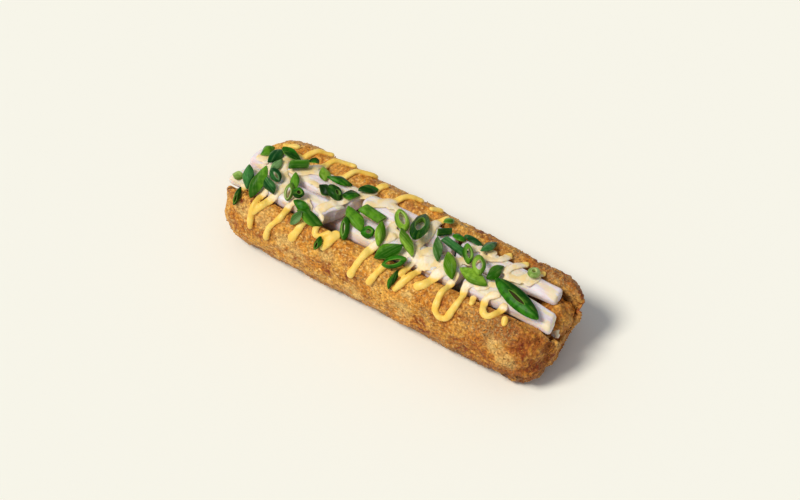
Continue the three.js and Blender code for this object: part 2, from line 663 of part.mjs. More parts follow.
// A slice set down at its place: it comes in towards the roll's axis until it all but touches.
function setDown([kind, size, [x, degrees], yaw, tip, pitch], placed) {
  const turn = degToRad(degrees);
  const up = new THREE.Vector3(0, Math.sin(turn), Math.cos(turn));
  const along = new THREE.Vector3(1, 0, 0);
  const frame = new THREE.Matrix4().makeBasis(along, new THREE.Vector3().crossVectors(up, along), up);
  frame.multiply(new THREE.Matrix4().makeRotationZ(degToRad(yaw)));
  frame.multiply(new THREE.Matrix4().makeRotationY(degToRad(pitch)));
  frame.multiply(new THREE.Matrix4().makeRotationX(degToRad(tip)));
  const shapeAt = (radius, grow) => {
    const place = new THREE.Vector3(x, 0, AXIS_HEIGHT).addScaledVector(up, radius);
    return solidOf(SLICE_KINDS[kind](size, grow).applyMatrix4(frame.clone().setPosition(place)));
  };
  const isFree = (radius) => {
    const test = shapeAt(radius, GAP);
    return placed.every((solid) => test.intersect(solid).isEmpty());
  };
  let radius = DROP.from;
  while (radius > DROP.to && isFree(radius - DROP.step)) radius -= DROP.step;
  return shapeAt(radius, 0);
}

const placed = [...saucedCarriers, nori];
const slices = SLICES.map((slice) => {
  const solid = setDown(slice, placed);
  placed.push(solid);
  return solid;
});

// Putting it together.

const MATERIALS = {
  crust: new THREE.MeshStandardMaterial({ color: 0xc98a3c, roughness: 0.7, metalness: 0 }),
  nori: new THREE.MeshStandardMaterial({ color: 0x1c2218, roughness: 0.5, metalness: 0 }),
  crab: new THREE.MeshStandardMaterial({ color: 0xe9dcdd, roughness: 0.4, metalness: 0 }),
  onion: new THREE.MeshStandardMaterial({ color: 0x2f7d2b, roughness: 0.35, metalness: 0 }),
};
const group = new THREE.Group();
function addNode(name, solid, material) {
  const mesh = new THREE.Mesh(geometryOf(solid), material);
  mesh.name = name;
  group.add(mesh);
}
addNode("fried_roll", saucedCarriers[0], MATERIALS.crust);
addNode("nori_lining", nori, MATERIALS.nori);
stickNames.forEach((name, i) => addNode(`crab_stick_${name}`, saucedCarriers[i + 1], MATERIALS.crab));
slices.forEach((solid, i) => {
  addNode(`spring_onion_${String(i + 1).padStart(2, "0")}`, solid, MATERIALS.onion);
});

// The origin goes to the middle of the footprint.
const box = new THREE.Box3().setFromObject(group);
const middle = box.getCenter(new THREE.Vector3());
group.position.set(-middle.x, -middle.y, -box.min.z);

export default group;
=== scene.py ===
# The looks of the sushi hot dog: a fried, crumbed sushi roll, split along its top and filled with
# crab sticks, with a zigzag of thick sauce and slices of spring onion over it.
# Shapes are worked out in millimetres, in the axes of the part's source, and put in place in metres.
import json
import math
from itertools import combinations

import bpy
import numpy as np
from mathutils import Matrix, Vector, noise
from mathutils.bvhtree import BVHTree

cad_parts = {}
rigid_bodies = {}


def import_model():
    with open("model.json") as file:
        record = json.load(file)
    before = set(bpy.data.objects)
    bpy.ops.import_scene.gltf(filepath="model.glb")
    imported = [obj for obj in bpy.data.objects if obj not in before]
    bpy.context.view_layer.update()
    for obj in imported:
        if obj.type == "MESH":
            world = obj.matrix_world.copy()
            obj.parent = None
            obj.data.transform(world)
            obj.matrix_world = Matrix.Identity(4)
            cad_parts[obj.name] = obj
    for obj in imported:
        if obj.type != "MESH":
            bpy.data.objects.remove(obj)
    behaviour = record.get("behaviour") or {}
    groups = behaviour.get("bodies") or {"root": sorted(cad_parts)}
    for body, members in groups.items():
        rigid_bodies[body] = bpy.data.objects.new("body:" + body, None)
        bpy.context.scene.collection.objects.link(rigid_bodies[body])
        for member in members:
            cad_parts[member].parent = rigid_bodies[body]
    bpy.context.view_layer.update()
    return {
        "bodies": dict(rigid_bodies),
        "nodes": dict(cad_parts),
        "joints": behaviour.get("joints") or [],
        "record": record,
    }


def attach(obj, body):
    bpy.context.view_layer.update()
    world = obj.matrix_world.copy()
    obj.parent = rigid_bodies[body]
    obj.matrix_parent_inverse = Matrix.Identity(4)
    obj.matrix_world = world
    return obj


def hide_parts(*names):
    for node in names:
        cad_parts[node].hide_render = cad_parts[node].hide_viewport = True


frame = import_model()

# Driving dimensions, as in the part's source.
LENGTH = 181
WIDTH = 57
HEIGHT = 37
SPLIT_WIDTH = 28
SPLIT_FLOOR = 17
SPLIT_OFFSET = -0.6
SPLIT_DRIFT = 3
CRUST_RELIEF = 0.75
END_DOME = 2
AXIS_HEIGHT = 19
HALF_LENGTH = LENGTH / 2
HALF_WIDTH = WIDTH / 2

# How far a degree round the axis reaches on the skin.
MM_PER_DEGREE = 0.45

# The source sets the middle of the footprint at the origin, which moves everything by this much.
CENTRING = np.array([1.652, 0.552, 0.0])

RANDOM = np.random.default_rng(7)


# Numbers and fields.

def lerp(a, b, t):
    return a + (b - a) * t


def smoothstep(value, low, high):
    t = np.clip((value - low) / (high - low), 0, 1)
    return t * t * (3 - 2 * t)


def wave(x, y, z, wavelength, phase):
    """The slow wave field that the unevenness of the solids is read from."""
    total = 0
    for i in range(1, 6):
        turn = 2.4 * i + phase
        lean = math.cos(1.7 * i + phase)
        flat = math.sqrt(1 - lean * lean)
        along = x * flat * math.cos(turn) + y * flat * math.sin(turn) + z * lean
        total = total + np.sin(2 * math.pi * along / (wavelength * (0.8 + 0.1 * i)) + 1.3 * i)
    return total / 5


def rough(points, grain, seed):
    """Perlin noise at each point, about -1 to 1. The grain is one size, or one for each axis."""
    places = points / np.array(grain) + 17.3 * seed
    return np.array([noise.noise(place) for place in places.tolist()])


def lumps(points, size, seed):
    """Rounded grains packed side by side: 1 at the middle of a grain, 0 between two."""
    places = points / size + 31.7 * seed
    nearest = np.array([noise.voronoi(place)[0][0] for place in places.tolist()])
    return 1 - np.clip(nearest / 0.75, 0, 1) ** 2


def flakes(points, size, seed):
    """Sharp crests with hollows between, about -1 to 1."""
    return 1 - 3.2 * np.abs(rough(points, size, seed))


def layered(form, points, layers, seed=0):
    """Layers of one form of relief added up. Each has a height, a grain and a seed of its own."""
    return sum(high * form(points, grain, own + seed) for high, grain, own in layers)


def unit(vectors):
    return vectors / np.maximum(np.linalg.norm(vectors, axis=-1, keepdims=True), 1e-9)


def turns(count):
    """Angles at even steps once round."""
    return np.linspace(0, 2 * math.pi, count, endpoint=False)


def degrees_round(points):
    """How far round the roll's axis each point lies, from the top towards +Y."""
    return np.degrees(np.arctan2(points[..., 1], points[..., 2] - AXIS_HEIGHT))


def lengths_along(line):
    """How far along a line each of its points lies."""
    return np.concatenate([[0], np.cumsum(np.linalg.norm(np.diff(line, axis=0), axis=1))])


def open_curve(points, step):
    """Points at even steps along a centripetal Catmull-Rom curve through the given ones."""
    p = np.array(points, float)
    p = np.vstack([2 * p[0] - p[1], p, 2 * p[-1] - p[-2]])
    dense = []
    for p0, p1, p2, p3 in zip(p, p[1:], p[2:], p[3:]):
        d0, d1, d2 = (math.sqrt(math.dist(a, b)) for a, b in ((p0, p1), (p1, p2), (p2, p3)))
        start = ((p1 - p0) / d0 - (p2 - p0) / (d0 + d1) + (p2 - p1) / d1) * d1
        end = ((p2 - p1) / d1 - (p3 - p1) / (d1 + d2) + (p3 - p2) / d2) * d1
        t = np.linspace(0, 1, 41)[:-1, None]
        bend = (2 * p1 - 2 * p2 + start + end) * t**3
        dense.append(bend + (3 * p2 - 3 * p1 - 2 * start - end) * t**2 + start * t + p1)
    line = np.vstack([*dense, p[-2]])
    along = lengths_along(line)
    even = np.linspace(0, along[-1], max(3, round(along[-1] / step)) + 1)
    return np.stack([np.interp(even, along, column) for column in line.T], 1)


# Meshes and pieces.

def skin_faces(rings, around):
    """Quads between rings of points that all run the same way round."""
    i, j = np.meshgrid(np.arange(rings - 1), np.arange(around), indexing="ij")
    a, b = i * around + j, i * around + (j + 1) % around
    return np.stack([a, b, b + around, a + around], -1).reshape(-1, 4)


def surface_normals(rings):
    """Outward normals of a skin given as an array of rings, from the places of each point's neighbours."""
    across = np.roll(rings, -1, axis=1) - np.roll(rings, 1, axis=1)
    return unit(np.cross(across, np.gradient(rings, axis=0)))


def add_object(name, data):
    """An object in the scene that shows this data."""
    made = bpy.data.objects.new(name, data)
    bpy.context.collection.objects.link(made)
    return made


def add_piece(name, points, faces, material, node, attributes):
    """A smooth piece that takes a node's place, with one number a point for each attribute."""
    mesh = bpy.data.meshes.new(name)
    mesh.from_pydata(((points + CENTRING) / 1000).tolist(), [], list(faces))
    mesh.shade_smooth()
    for key, values in attributes.items():
        layer = mesh.attributes.new(key, "FLOAT", "POINT")
        layer.data.foreach_set("value", np.asarray(values, np.float32))
    mesh.materials.append(material)
    piece = add_object(name, mesh)
    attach(piece, "root")
    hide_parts(node)


# Materials.

def colour(red, green, blue):
    """A colour as it looks on the screen, in 0 to 255, for a shader's socket."""
    def linear(c):
        c = c / 255
        return c / 12.92 if c <= 0.04045 else ((c + 0.055) / 1.055) ** 2.4
    return (linear(red), linear(green), linear(blue), 1)


class Shader:
    """A material whose nodes are made and joined by short calls. Sizes are in millimetres."""

    def __init__(self, name, **settings):
        self.material = bpy.data.materials.new(name)
        self.material.use_nodes = True
        self.tree = self.material.node_tree
        self.surface = self.tree.nodes["Principled BSDF"]
        for socket, value in settings.items():
            self.set(socket.replace("_", " "), value)

    def set(self, socket, value):
        self.join(self.surface.inputs[socket], value)

    def join(self, socket, value):
        if isinstance(value, bpy.types.NodeSocket):
            self.tree.links.new(value, socket)
        else:
            socket.default_value = value

    def node(self, kind, inputs, output, **properties):
        made = self.tree.nodes.new(kind)
        for key, value in properties.items():
            setattr(made, key, value)
        for key, value in inputs.items():
            self.join(made.inputs[key], value)
        return made.outputs[output]

    def place(self, stretch=(1, 1, 1)):
        """Where a point is on the object, with each axis squeezed by its stretch."""
        where = self.node("ShaderNodeTexCoord", {}, "Object")
        squeeze = tuple(1 / s for s in stretch)
        return self.node("ShaderNodeMapping", {"Vector": where, "Scale": squeeze}, "Vector")

    def span(self, value, low, high, to_low=0.0, to_high=1.0):
        """A number taken from one range to another, smoothly."""
        numbers = {"Value": value, "From Min": low, "From Max": high}
        numbers.update({"To Min": to_low, "To Max": to_high})
        return self.node("ShaderNodeMapRange", numbers, "Result", interpolation_type="SMOOTHSTEP")

    def noise(self, size, low=0.35, high=0.65, detail=3.0, stretch=(1, 1, 1)):
        """Cloudy noise of this grain, spread so that low gives 0 and high gives 1."""
        inputs = {"Vector": self.place(stretch), "Scale": 1000 / size, "Detail": detail}
        return self.span(self.node("ShaderNodeTexNoise", inputs, "Fac"), low, high)

    def cells(self, size):
        """One random value for each grain of this size."""
        inputs = {"Vector": self.place(), "Scale": 1000 / size}
        return self.node("ShaderNodeTexVoronoi", inputs, "Color")

    def attribute(self, name):
        return self.node("ShaderNodeAttribute", {}, "Fac", attribute_name=name)

    def both(self, a, b):
        """The product of two shares, kept from 0 to 1."""
        return self.node("ShaderNodeMath", {0: a, 1: b}, "Value", operation="MULTIPLY", use_clamp=True)

    def mix(self, factor, a, b, blend="MIX"):
        made = self.tree.nodes.new("ShaderNodeMix")
        made.data_type = "RGBA"
        made.blend_type = blend
        for index, value in ((0, factor), (6, a), (7, b)):
            self.join(made.inputs[index], value)
        return made.outputs[2]

    def over(self, tone, coat, a, b):
        """A tone with a coat of another over it, where both shares let it show."""
        return self.mix(self.both(a, b), tone, coat)

    def bump(self, height, millimetres, below=None):
        """A bump of this height in millimetres, on top of the one below."""
        inputs = {"Height": height, "Distance": millimetres / 1000, "Strength": 1.0}
        if below is not None:
            inputs["Normal"] = below
        return self.node("ShaderNodeBump", inputs, "Normal")


GOLDEN = colour(220, 146, 48)
STRAW = colour(238, 180, 80)
BROWN = colour(160, 84, 26)
CRISP = colour(252, 216, 136)
SHADED = colour(104, 80, 66)
DARK_CRUMB = colour(72, 42, 20)
TOASTED = colour(136, 56, 16)
SEAWEED = colour(186, 146, 88)
SEAWEED_DARK = colour(66, 46, 20)
BATTER = colour(236, 196, 116)


def crust_material():
    """Fried batter: golden, straw and brown in patches, with dark crumbs and seaweed under it."""
    s = Shader("crust", Roughness=0.5, Specular_IOR_Level=0.22)
    tone = s.mix(s.noise(9, 0.4, 0.62), GOLDEN, STRAW)
    tone = s.over(tone, BROWN, s.noise(4.6, 0.48, 0.66), 0.7)
    tone = s.over(tone, BROWN, s.noise(1.9, 0.5, 0.64), 0.55)
    # Painted highlight: the crust is paler where its relief stands up.
    tone = s.mix(s.span(s.attribute("relief"), 0.0, 1.2, 0.0, 0.4), tone, STRAW)
    tone = s.over(tone, CRISP, s.noise(1.5, 0.55, 0.68, 2), 0.6)
    # Painted shade: the crust is browner down in the hollows of its relief.
    tone = s.mix(s.span(s.attribute("relief"), -0.3, -1.4, 0.0, 0.55), tone, BROWN)
    tone = s.over(tone, BROWN, s.attribute("baked"), s.noise(3, 0.3, 0.6))
    tone = s.over(tone, SHADED, s.attribute("low"), s.noise(2.2, 0.35, 0.62))
    tone = s.over(tone, BATTER, s.attribute("pale"), s.noise(3.2, 0.25, 0.6))
    tone = s.over(tone, TOASTED, s.attribute("toast"), s.noise(2.6, 0.4, 0.68))
    weed = s.mix(s.noise(0.7, 0.5, 0.66), SEAWEED, SEAWEED_DARK)
    tone = s.over(tone, weed, s.attribute("seaweed"), s.noise(1.2, 0.4, 0.66))
    clumps = s.span(s.attribute("speckled"), 0.0, 1.0, 0.25, 0.9)
    tone = s.over(tone, DARK_CRUMB, s.span(s.cells(0.7), 0.14, 0.05), clumps)
    mottle = s.mix(s.noise(1.1, 0.35, 0.65, 4), (0.6, 0.54, 0.48, 1), (1.24, 1.22, 1.2, 1))
    s.set("Base Color", s.mix(0.8, tone, mottle, "MULTIPLY"))
    grains = s.bump(s.noise(1.6, 0.3, 0.7), 0.25)
    s.set("Normal", s.bump(s.noise(0.6, 0.3, 0.7), 0.08, grains))
    return s.material


def crumb_material():
    """Crumbs of the coat, each with its own tone: mostly golden, a few nearly burnt."""
    s = Shader("crumbs", Roughness=0.55, Specular_IOR_Level=0.4)
    tone = s.mix(s.span(s.attribute("tone"), 0.02, 0.05), DARK_CRUMB, BROWN)
    tone = s.mix(s.span(s.attribute("tone"), 0.05, 0.35), tone, GOLDEN)
    tone = s.mix(s.span(s.attribute("tone"), 0.8, 1.0), tone, STRAW)
    mottle = s.mix(s.noise(0.6), (0.7, 0.7, 0.7, 1), (1.15, 1.15, 1.15, 1))
    s.set("Base Color", s.mix(0.6, tone, mottle, "MULTIPLY"))
    s.set("Normal", s.bump(s.noise(0.4), 0.1))
    return s.material


def crab_material():
    """Crab stick: lilac-white and a little translucent, in soft sheets, blushed in places."""
    s = Shader(
        "crab", Roughness=0.5, Specular_IOR_Level=0.25, Subsurface_Weight=0.6,
        Subsurface_Radius=(1.0, 0.7, 0.6), Subsurface_Scale=0.003,
    )
    fibre = s.noise(1.4, 0.3, 0.7, 3, (7, 1, 1))
    tone = s.mix(fibre, colour(236, 218, 220), colour(246, 236, 236))
    tone = s.over(tone, colour(250, 228, 176), s.noise(3.2, 0.44, 0.6, 3, (4, 1, 1)), 0.75)
    tone = s.over(tone, colour(238, 212, 204), s.noise(8, 0.48, 0.7), 0.4)
    # Painted shade: the flesh is darker down in the seams between its sheets.
    tone = s.mix(s.attribute("deep"), tone, colour(222, 196, 198))
    red = s.span(s.cells(4.2), 0.035, 0.02)
    tone = s.over(tone, colour(176, 52, 44), red, s.noise(1.4, 0.45, 0.55))
    s.set("Base Color", tone)
    s.set("Normal", s.bump(fibre, 0.03, s.bump(s.noise(3), 0.12)))
    return s.material


def sauce_material():
    """Thick sauce: glossy, yellow-orange, paler and creamier where it lies thin on the filling."""
    s = Shader(
        "sauce", Roughness=0.42, Specular_IOR_Level=0.4, Subsurface_Weight=0.15,
        Subsurface_Radius=(1.0, 0.6, 0.25), Subsurface_Scale=0.0015,
    )
    thick = s.mix(s.noise(5), colour(254, 204, 84), colour(255, 218, 112))
    thin = s.mix(s.noise(4), colour(252, 232, 200), colour(254, 220, 156))
    s.set("Base Color", s.mix(s.attribute("thin"), thick, thin))
    s.set("Normal", s.bump(s.noise(2.5), 0.12))
    return s.material


def nori_material():
    """Toasted seaweed: greenish black, dull, with a crinkled, finely pitted face."""
    s = Shader("nori", Roughness=0.55, Specular_IOR_Level=0.4)
    s.set("Base Color", s.mix(s.noise(1.5), colour(22, 26, 18), colour(48, 50, 32)))
    s.set("Normal", s.bump(s.noise(0.8), 0.2, s.bump(s.noise(5), 0.5)))
    return s.material


# The greens of the spring onion: where the skin is in shade, where it is lit, and its cut face.
# The far side of a tube, seen through its opening, is dim.
SHADES = {
    "deep": ((5, 38, 2), (26, 76, 12), (120, 156, 66)),
    "dark": ((8, 58, 3), (44, 116, 12), (130, 172, 60)),
    "teal": ((10, 66, 20), (58, 120, 54), (136, 176, 110)),
    "mid": ((34, 90, 2), (92, 148, 28), (160, 192, 96)),
    "bright": ((68, 116, 2), (134, 176, 48), (190, 210, 116)),
    "sage": ((58, 104, 34), (124, 164, 98), (172, 202, 140)),
    "pale": ((92, 132, 32), (156, 186, 94), (218, 228, 152)),
}
INSIDE_DIM = colour(58, 50, 20)


def onion_material(shade):
    """A spring onion's green: moist skin, darker to one side, paler where it is cut and inside."""
    dark, light, inside = (colour(*rgb) for rgb in SHADES[shade])
    s = Shader("onion_" + shade, Roughness=0.34, Specular_IOR_Level=0.09)
    along_skin = {"W": s.attribute("across"), "Scale": 2.2, "Detail": 4.0, "Roughness": 0.7}
    veins = s.node("ShaderNodeTexNoise", along_skin, "Fac", noise_dimensions="1D")
    skin = s.mix(s.attribute("lit"), dark, light)
    streaks = s.both(s.span(veins, 0.42, 0.68), s.noise(4, 0.3, 0.6))
    skin = s.over(skin, inside, streaks, 0.28)
    skin = s.over(skin, dark, s.noise(2.6, 0.45, 0.65), 0.55)
    skin = s.mix(s.attribute("cut"), skin, inside)
    s.set("Base Color", s.mix(s.attribute("dim"), skin, INSIDE_DIM))
    s.set("Normal", s.bump(s.noise(2), 0.04, s.bump(veins, 0.02)))
    return s.material


# The fried roll. Its split opens into a cleft at the near end. Both ends are drawn in and cut
# aslant, and the near one is cut under. FLANK gives places up its side, as shares of the half
# width and of the height, and the split takes up the spans between SPLIT_SPANS.

CLEFT = {"middle": 0.6, "narrower": 1, "lean": -6.5, "deeper": 4, "bed": (0.6, 0.3)}
END_REACH = 18
END_INSET = 13
END_DROP = 0.75
END_RISE = 0.8
END_SLANT = {"far": (3.5, 3.5), "near": (-6, 4)}
NEAR_END_UNDERCUT = 5.5
SLANT_FROM = HALF_LENGTH - 45
CLEFT_FROM = HALF_LENGTH - 30
UNDERCUT_FROM = HALF_LENGTH - 20
LIP = 6.5
RIM_CORE = 4
CRAGS = {"broad": 13, "fine": 8, "near_end": 1.7, "inside": 0.1}
FLANK = [(0.38, 0), (0.76, 0.02), (0.96, 0.27), (1, 0.52), (0.93, 0.8)]
SPLIT_SPANS = (7, 15)
LIP_BULGE = 0.9
HALF_RING = 150
ROLL_STATIONS = 290
CAP_RINGS = 16


def end_inset(x):
    """How far the skin is drawn in at x, over the rounded stretch at each end."""
    into = min(1, max(0, 1 - (HALF_LENGTH - abs(x)) / END_REACH))
    return END_INSET * (1 - math.sqrt(1 - into**2))


def end_slant(x, y, z):
    """How far the ends are cut aslant and undercut: the shift along X of a point."""
    sole, top = END_SLANT["far" if x < 0 else "near"]
    share = y / HALF_WIDTH * smoothstep(abs(x), SLANT_FROM, HALF_LENGTH)
    under = NEAR_END_UNDERCUT * (1 - z / HEIGHT) * smoothstep(x, UNDERCUT_FROM, HALF_LENGTH)
    return lerp(sole, top, z / HEIGHT) * share - under


def split_middle(x):
    """How far across the roll the middle of the split lies at x."""
    return SPLIT_OFFSET + SPLIT_DRIFT * x / HALF_LENGTH + CLEFT["middle"] * in_cleft(x)


def in_cleft(x):
    """0 along the roll, rising to 1 at the near end, where the split opens into a cleft."""
    return smoothstep(x, CLEFT_FROM, HALF_LENGTH)


def outline(x):
    """Points [y, z] round the roll's section at x, from the middle of the sole towards +Y."""
    drawn_in = end_inset(x)
    half = HALF_WIDTH - drawn_in
    top = HEIGHT - END_DROP * drawn_in
    sole = END_RISE * drawn_in
    near_end = in_cleft(x)
    middle = split_middle(x)
    mouth = min(SPLIT_WIDTH / 2 - CLEFT["narrower"] * near_end, half - LIP)
    bed_middle = middle + CLEFT["lean"] * near_end
    bed = lerp(*CLEFT["bed"], near_end) * mouth
    floor = SPLIT_FLOOR - CLEFT["deeper"] * near_end

    def side(s):
        flank = [(s * half * out, sole + up * (top - sole)) for out, up in FLANK]
        return flank + [
            (lerp(middle + s * mouth, s * half, 0.45), top),
            (middle + s * (mouth + 1.5), top - 1),
            (middle + s * (mouth - 0.5), lerp(floor, top, 0.62)),
            (bed_middle + s * bed, floor + 3),
            (bed_middle + s * bed * 0.55, floor),
        ]

    return np.array([(0, sole), *side(1), (bed_middle, floor), *reversed(side(-1))])


def closed_curve(corners, places):
    """Points of a closed Catmull-Rom curve, at places counted in spans."""
    span = np.floor(places).astype(int)
    t = (places - span)[:, None]
    p0, p1, p2, p3 = (corners[(span + k) % len(corners)] for k in (-1, 0, 1, 2))
    cubic = (3 * p1 - p0 - 3 * p2 + p3) * t**3
    return 0.5 * (2 * p1 + (p2 - p0) * t + (2 * p0 - 5 * p1 + 4 * p2 - p3) * t**2 + cubic)


def even_places(corners):
    """Places that lie evenly round an outline, the same number on each half."""
    half = len(corners) // 2
    dense = np.linspace(0, half, 16 * half + 1)
    found = []
    for start in (0, half):
        line = closed_curve(corners, dense + start)
        along = lengths_along(line)
        even = np.linspace(0, along[-1], HALF_RING + 1)[:-1]
        found.append(start + np.interp(even, along, dense))
    return np.concatenate(found)


def roll_ring(x):
    """The section at x with its crags, and its places, as points in space."""
    corners = outline(x)
    places = even_places(corners)
    flat = closed_curve(corners, places)
    ahead = closed_curve(corners, places + 0.02) - flat
    out = unit(np.stack([ahead[:, 1], -ahead[:, 0]], 1))
    y, z = flat.T
    craggy = CRUST_RELIEF * lerp(1, CRAGS["near_end"], smoothstep(x, LENGTH / 4, HALF_LENGTH - 10))
    lift = wave(x, y, z, CRAGS["broad"], 0.4) + 0.6 * wave(x, y, z, CRAGS["fine"], 2.1)
    inside = in_split(places)
    off = craggy * lift * smoothstep(z, 0.5, 5) * lerp(1, CRAGS["inside"], inside)
    points = np.stack([x + end_slant(x, y, z), y + out[:, 0] * off, z + out[:, 1] * off], 1)
    return points, places


def in_split(places):
    """1 for places on the walls and floor of the split, 0 for those on the crust outside."""
    first, last = SPLIT_SPANS
    return smoothstep(places, first - 0.4, first + 0.2) * smoothstep(places, last + 0.4, last - 0.2)


def on_lips(places):
    """1 for places on the inner face of either lip, which swells towards the filling."""
    first, last = SPLIT_SPANS
    near = smoothstep(places, first - 0.4, first + 0.3) * smoothstep(places, first + 1.4, first + 0.8)
    far = smoothstep(places, last + 0.4, last - 0.3) * smoothstep(places, last - 1.4, last - 0.8)
    return near + far


def cap_rings(ring, places, outward):
    """Rings that round off an end: each closes more of the way to the middle of the wall."""
    corners = outline(outward * HALF_LENGTH)
    half = len(corners) // 2
    side = np.where(places < half, 0, half)
    into = np.minimum(np.minimum(places - side, side + half - places), RIM_CORE)
    a = np.stack([np.interp(side + into, places, column) for column in ring.T], 1)
    b = np.stack([np.interp(side + half - into, places, column) for column in ring.T], 1)
    core = (a + b) / 2
    rings = []
    for k in range(1, CAP_RINGS + 1):
        share = k / CAP_RINGS
        bulge = END_DOME * math.sqrt(1 - (1 - min(1, share / 0.55)) ** 2)
        rings.append(lerp(ring, core, share) + np.array([outward * bulge, 0, 0]))
    return rings


def roll_rings():
    """All the rings of the roll, from the far end's cap to the near end's."""
    t = np.linspace(-1, 1, ROLL_STATIONS + 1)
    stations = HALF_LENGTH * lerp(t, np.sin(math.pi / 2 * t), 0.45)
    rings, places = zip(*(roll_ring(x) for x in stations))
    far = cap_rings(rings[0], places[0], -1)[::-1]
    near = cap_rings(rings[-1], places[-1], 1)
    all_places = [places[0]] * len(far) + list(places) + [places[-1]] * len(near)
    return np.array([*far, *rings, *near]), np.array(all_places)


def away_from_core(count):
    """For each ring, 1 on the roll's length, falling to 0 where an end's cap closes on itself."""
    calm = np.ones(count)
    falling = np.sqrt(np.linspace(1, 0, CAP_RINGS))
    calm[:CAP_RINGS] = falling[::-1]
    calm[-CAP_RINGS:] = falling
    return calm


# Coloured places of the crust: [x, degrees round] of the middle and how far it reaches.
SEAWEED_PLACES = [
    (52, -58, 7), (61, -54, 9), (70, -52, 7), (79, 46, 9), (68, 49, 7), (50, 49, 5),
    (9, 54, 4), (19, 55, 4), (-8, 56, 3), (86, 40, 6), (-8, -72, 4), (28, -75, 4),
]
TOAST_PLACES = [
    (79, -60, 6), (82, -72, 4), (88, 58, 8), (88, -88, 8), (78, 66, 9), (-26, -82, 6),
    (-14, -76, 5), (-66, -76, 6), (-47, -36, 6), (-57, -38, 6), (-44, -90, 6), (26, -98, 8),
    (49, -100, 9), (-82, -52, 6), (-74, -53, 5), (60, 66, 10), (30, 62, 8), (44, -60, 4),
]
PALE_PLACES = [
    (-54, -76, 6), (-46, -88, 7), (-67, -64, 6), (-78, -66, 5), (-13, -100, 7), (-3, -71, 4),
    (14, -86, 6), (67, -72, 6), (74, -84, 6), (16, -66, 3), (88, 34, 6), (-30, -66, 5),
]


def near_places(points, places):
    """How strongly each point belongs to one of the coloured places, 0 to 1."""
    share = np.zeros(len(points))
    ragged = 2.2 * rough(points, 4.0, 5)
    around = degrees_round(points)
    for x, degrees, reach in places:
        gap = np.hypot(points[:, 0] - x, MM_PER_DEGREE * (around - degrees)) + ragged
        share = np.maximum(share, smoothstep(gap, reach * 1.15, reach * 0.45))
    return share


# The layers of the crust's relief: height in millimetres, grain and seed.
SWELLS = [(0.42, 6.5, 1), (0.22, 2.6, 2)]
FLAKES = [(0.34, 3.4, 1), (0.2, 1.7, 2)]


def crust_relief(points, outside):
    """The crust's fine relief in millimetres: lumps of batter with crumbs on them."""
    x = points[:, 0]
    near_end = smoothstep(x, 50, 80)
    batter = layered(rough, points, SWELLS)
    batter = batter + lerp(0.4, 0.8, near_end) * (lumps(points, 4.6, 3) - 0.5)
    batter = batter + 1.5 * near_end * (lumps(points, 8.5, 4) - 0.6)
    crumbs = layered(flakes, points, FLAKES) * lerp(0.5, 1.3, smoothstep(x, -50, 60))
    drawn_in = 0.5 * smoothstep(x, 30, 75)
    size = lerp(lerp(0.35, 0.9, smoothstep(x, 68, 80)), 1, outside)
    return ((batter + crumbs) * size - drawn_in * outside) * smoothstep(points[:, 2], 0.2, 2.5)


def build_crust(material):
    """The roll's skin, and the points, faces and outward normals for what lies on it."""
    rings, places = roll_rings()
    normals = surface_normals(rings)
    normals[0], normals[-1] = (-1, 0, 0), (1, 0, 0)
    points, normals = rings.reshape(-1, 3), normals.reshape(-1, 3)
    calm = np.repeat(away_from_core(len(places)), places.shape[1])
    outside = 1 - in_split(places.reshape(-1)) * calm**2
    relief = calm * (crust_relief(points, outside) + LIP_BULGE * on_lips(places.reshape(-1)))
    points = points + normals * relief[:, None]
    points[:, 2] = np.maximum(points[:, 2], 0)
    faces = skin_faces(*rings.shape[:2])
    inner = smoothstep(points[:, 0], 60, 80) * (1 - outside)
    attributes = {
        "relief": relief * 2,
        "seaweed": near_places(points, SEAWEED_PLACES),
        "toast": near_places(points, TOAST_PLACES),
        "pale": np.maximum(0.8 * near_places(points, PALE_PLACES), 0.3 * inner),
        "baked": np.clip(0.7 * smoothstep(points[:, 0], 5, 80) + 0.35 * rough(points, 13, 6), 0, 0.9),
        "low": smoothstep(points[:, 2], 15, 2),
        "speckled": smoothstep(rough(points, 9, 4) + smoothstep(points[:, 0], -60, 60), 0.1, 1.1),
    }
    add_piece("fried_crust", points, faces, material, "fried_roll", attributes)
    return points, faces, normals, outside


# The crag of crust that stands up between the upper sticks at the near end.

CRAG = {"at": (81, 5.5, 25), "half": (8, 10.5, 9.6)}
CRAG_SIDES = 120
CRAG_FLAKES = [(0.5, 3.4, 1), (0.25, 1.7, 2)]


def build_crag(material):
    """A lump of batter with the crust's relief, ragged like a broken edge."""
    turn = turns(CRAG_SIDES)
    fall = np.linspace(0.01, math.pi - 0.01, CRAG_SIDES // 2)[:, None]
    flat = np.sin(fall)
    ball = np.stack([flat * np.cos(turn), flat * np.sin(turn), np.cos(fall) + 0 * turn], -1)
    points = (ball * CRAG["half"] + CRAG["at"]).reshape(-1, 3)
    relief = 1.1 * rough(points, 5, 8) + 1.6 * (lumps(points, 5, 3) - 0.6)
    relief = relief + layered(flakes, points, CRAG_FLAKES)
    points = points + unit(ball.reshape(-1, 3)) * relief[:, None]
    faces = skin_faces(*ball.shape[:2])[:, ::-1]
    attributes = {"relief": relief / 0.8, "baked": np.full(len(points), 0.5)}
    add_piece("crust_crag", points, faces, material, "fried_roll", attributes)


# Crumbs scattered over the crust.

CRUMB_COUNT = 2600
CRUMB_SIZE = (0.2, 0.4)
CRUMB_LIFT = 0.12


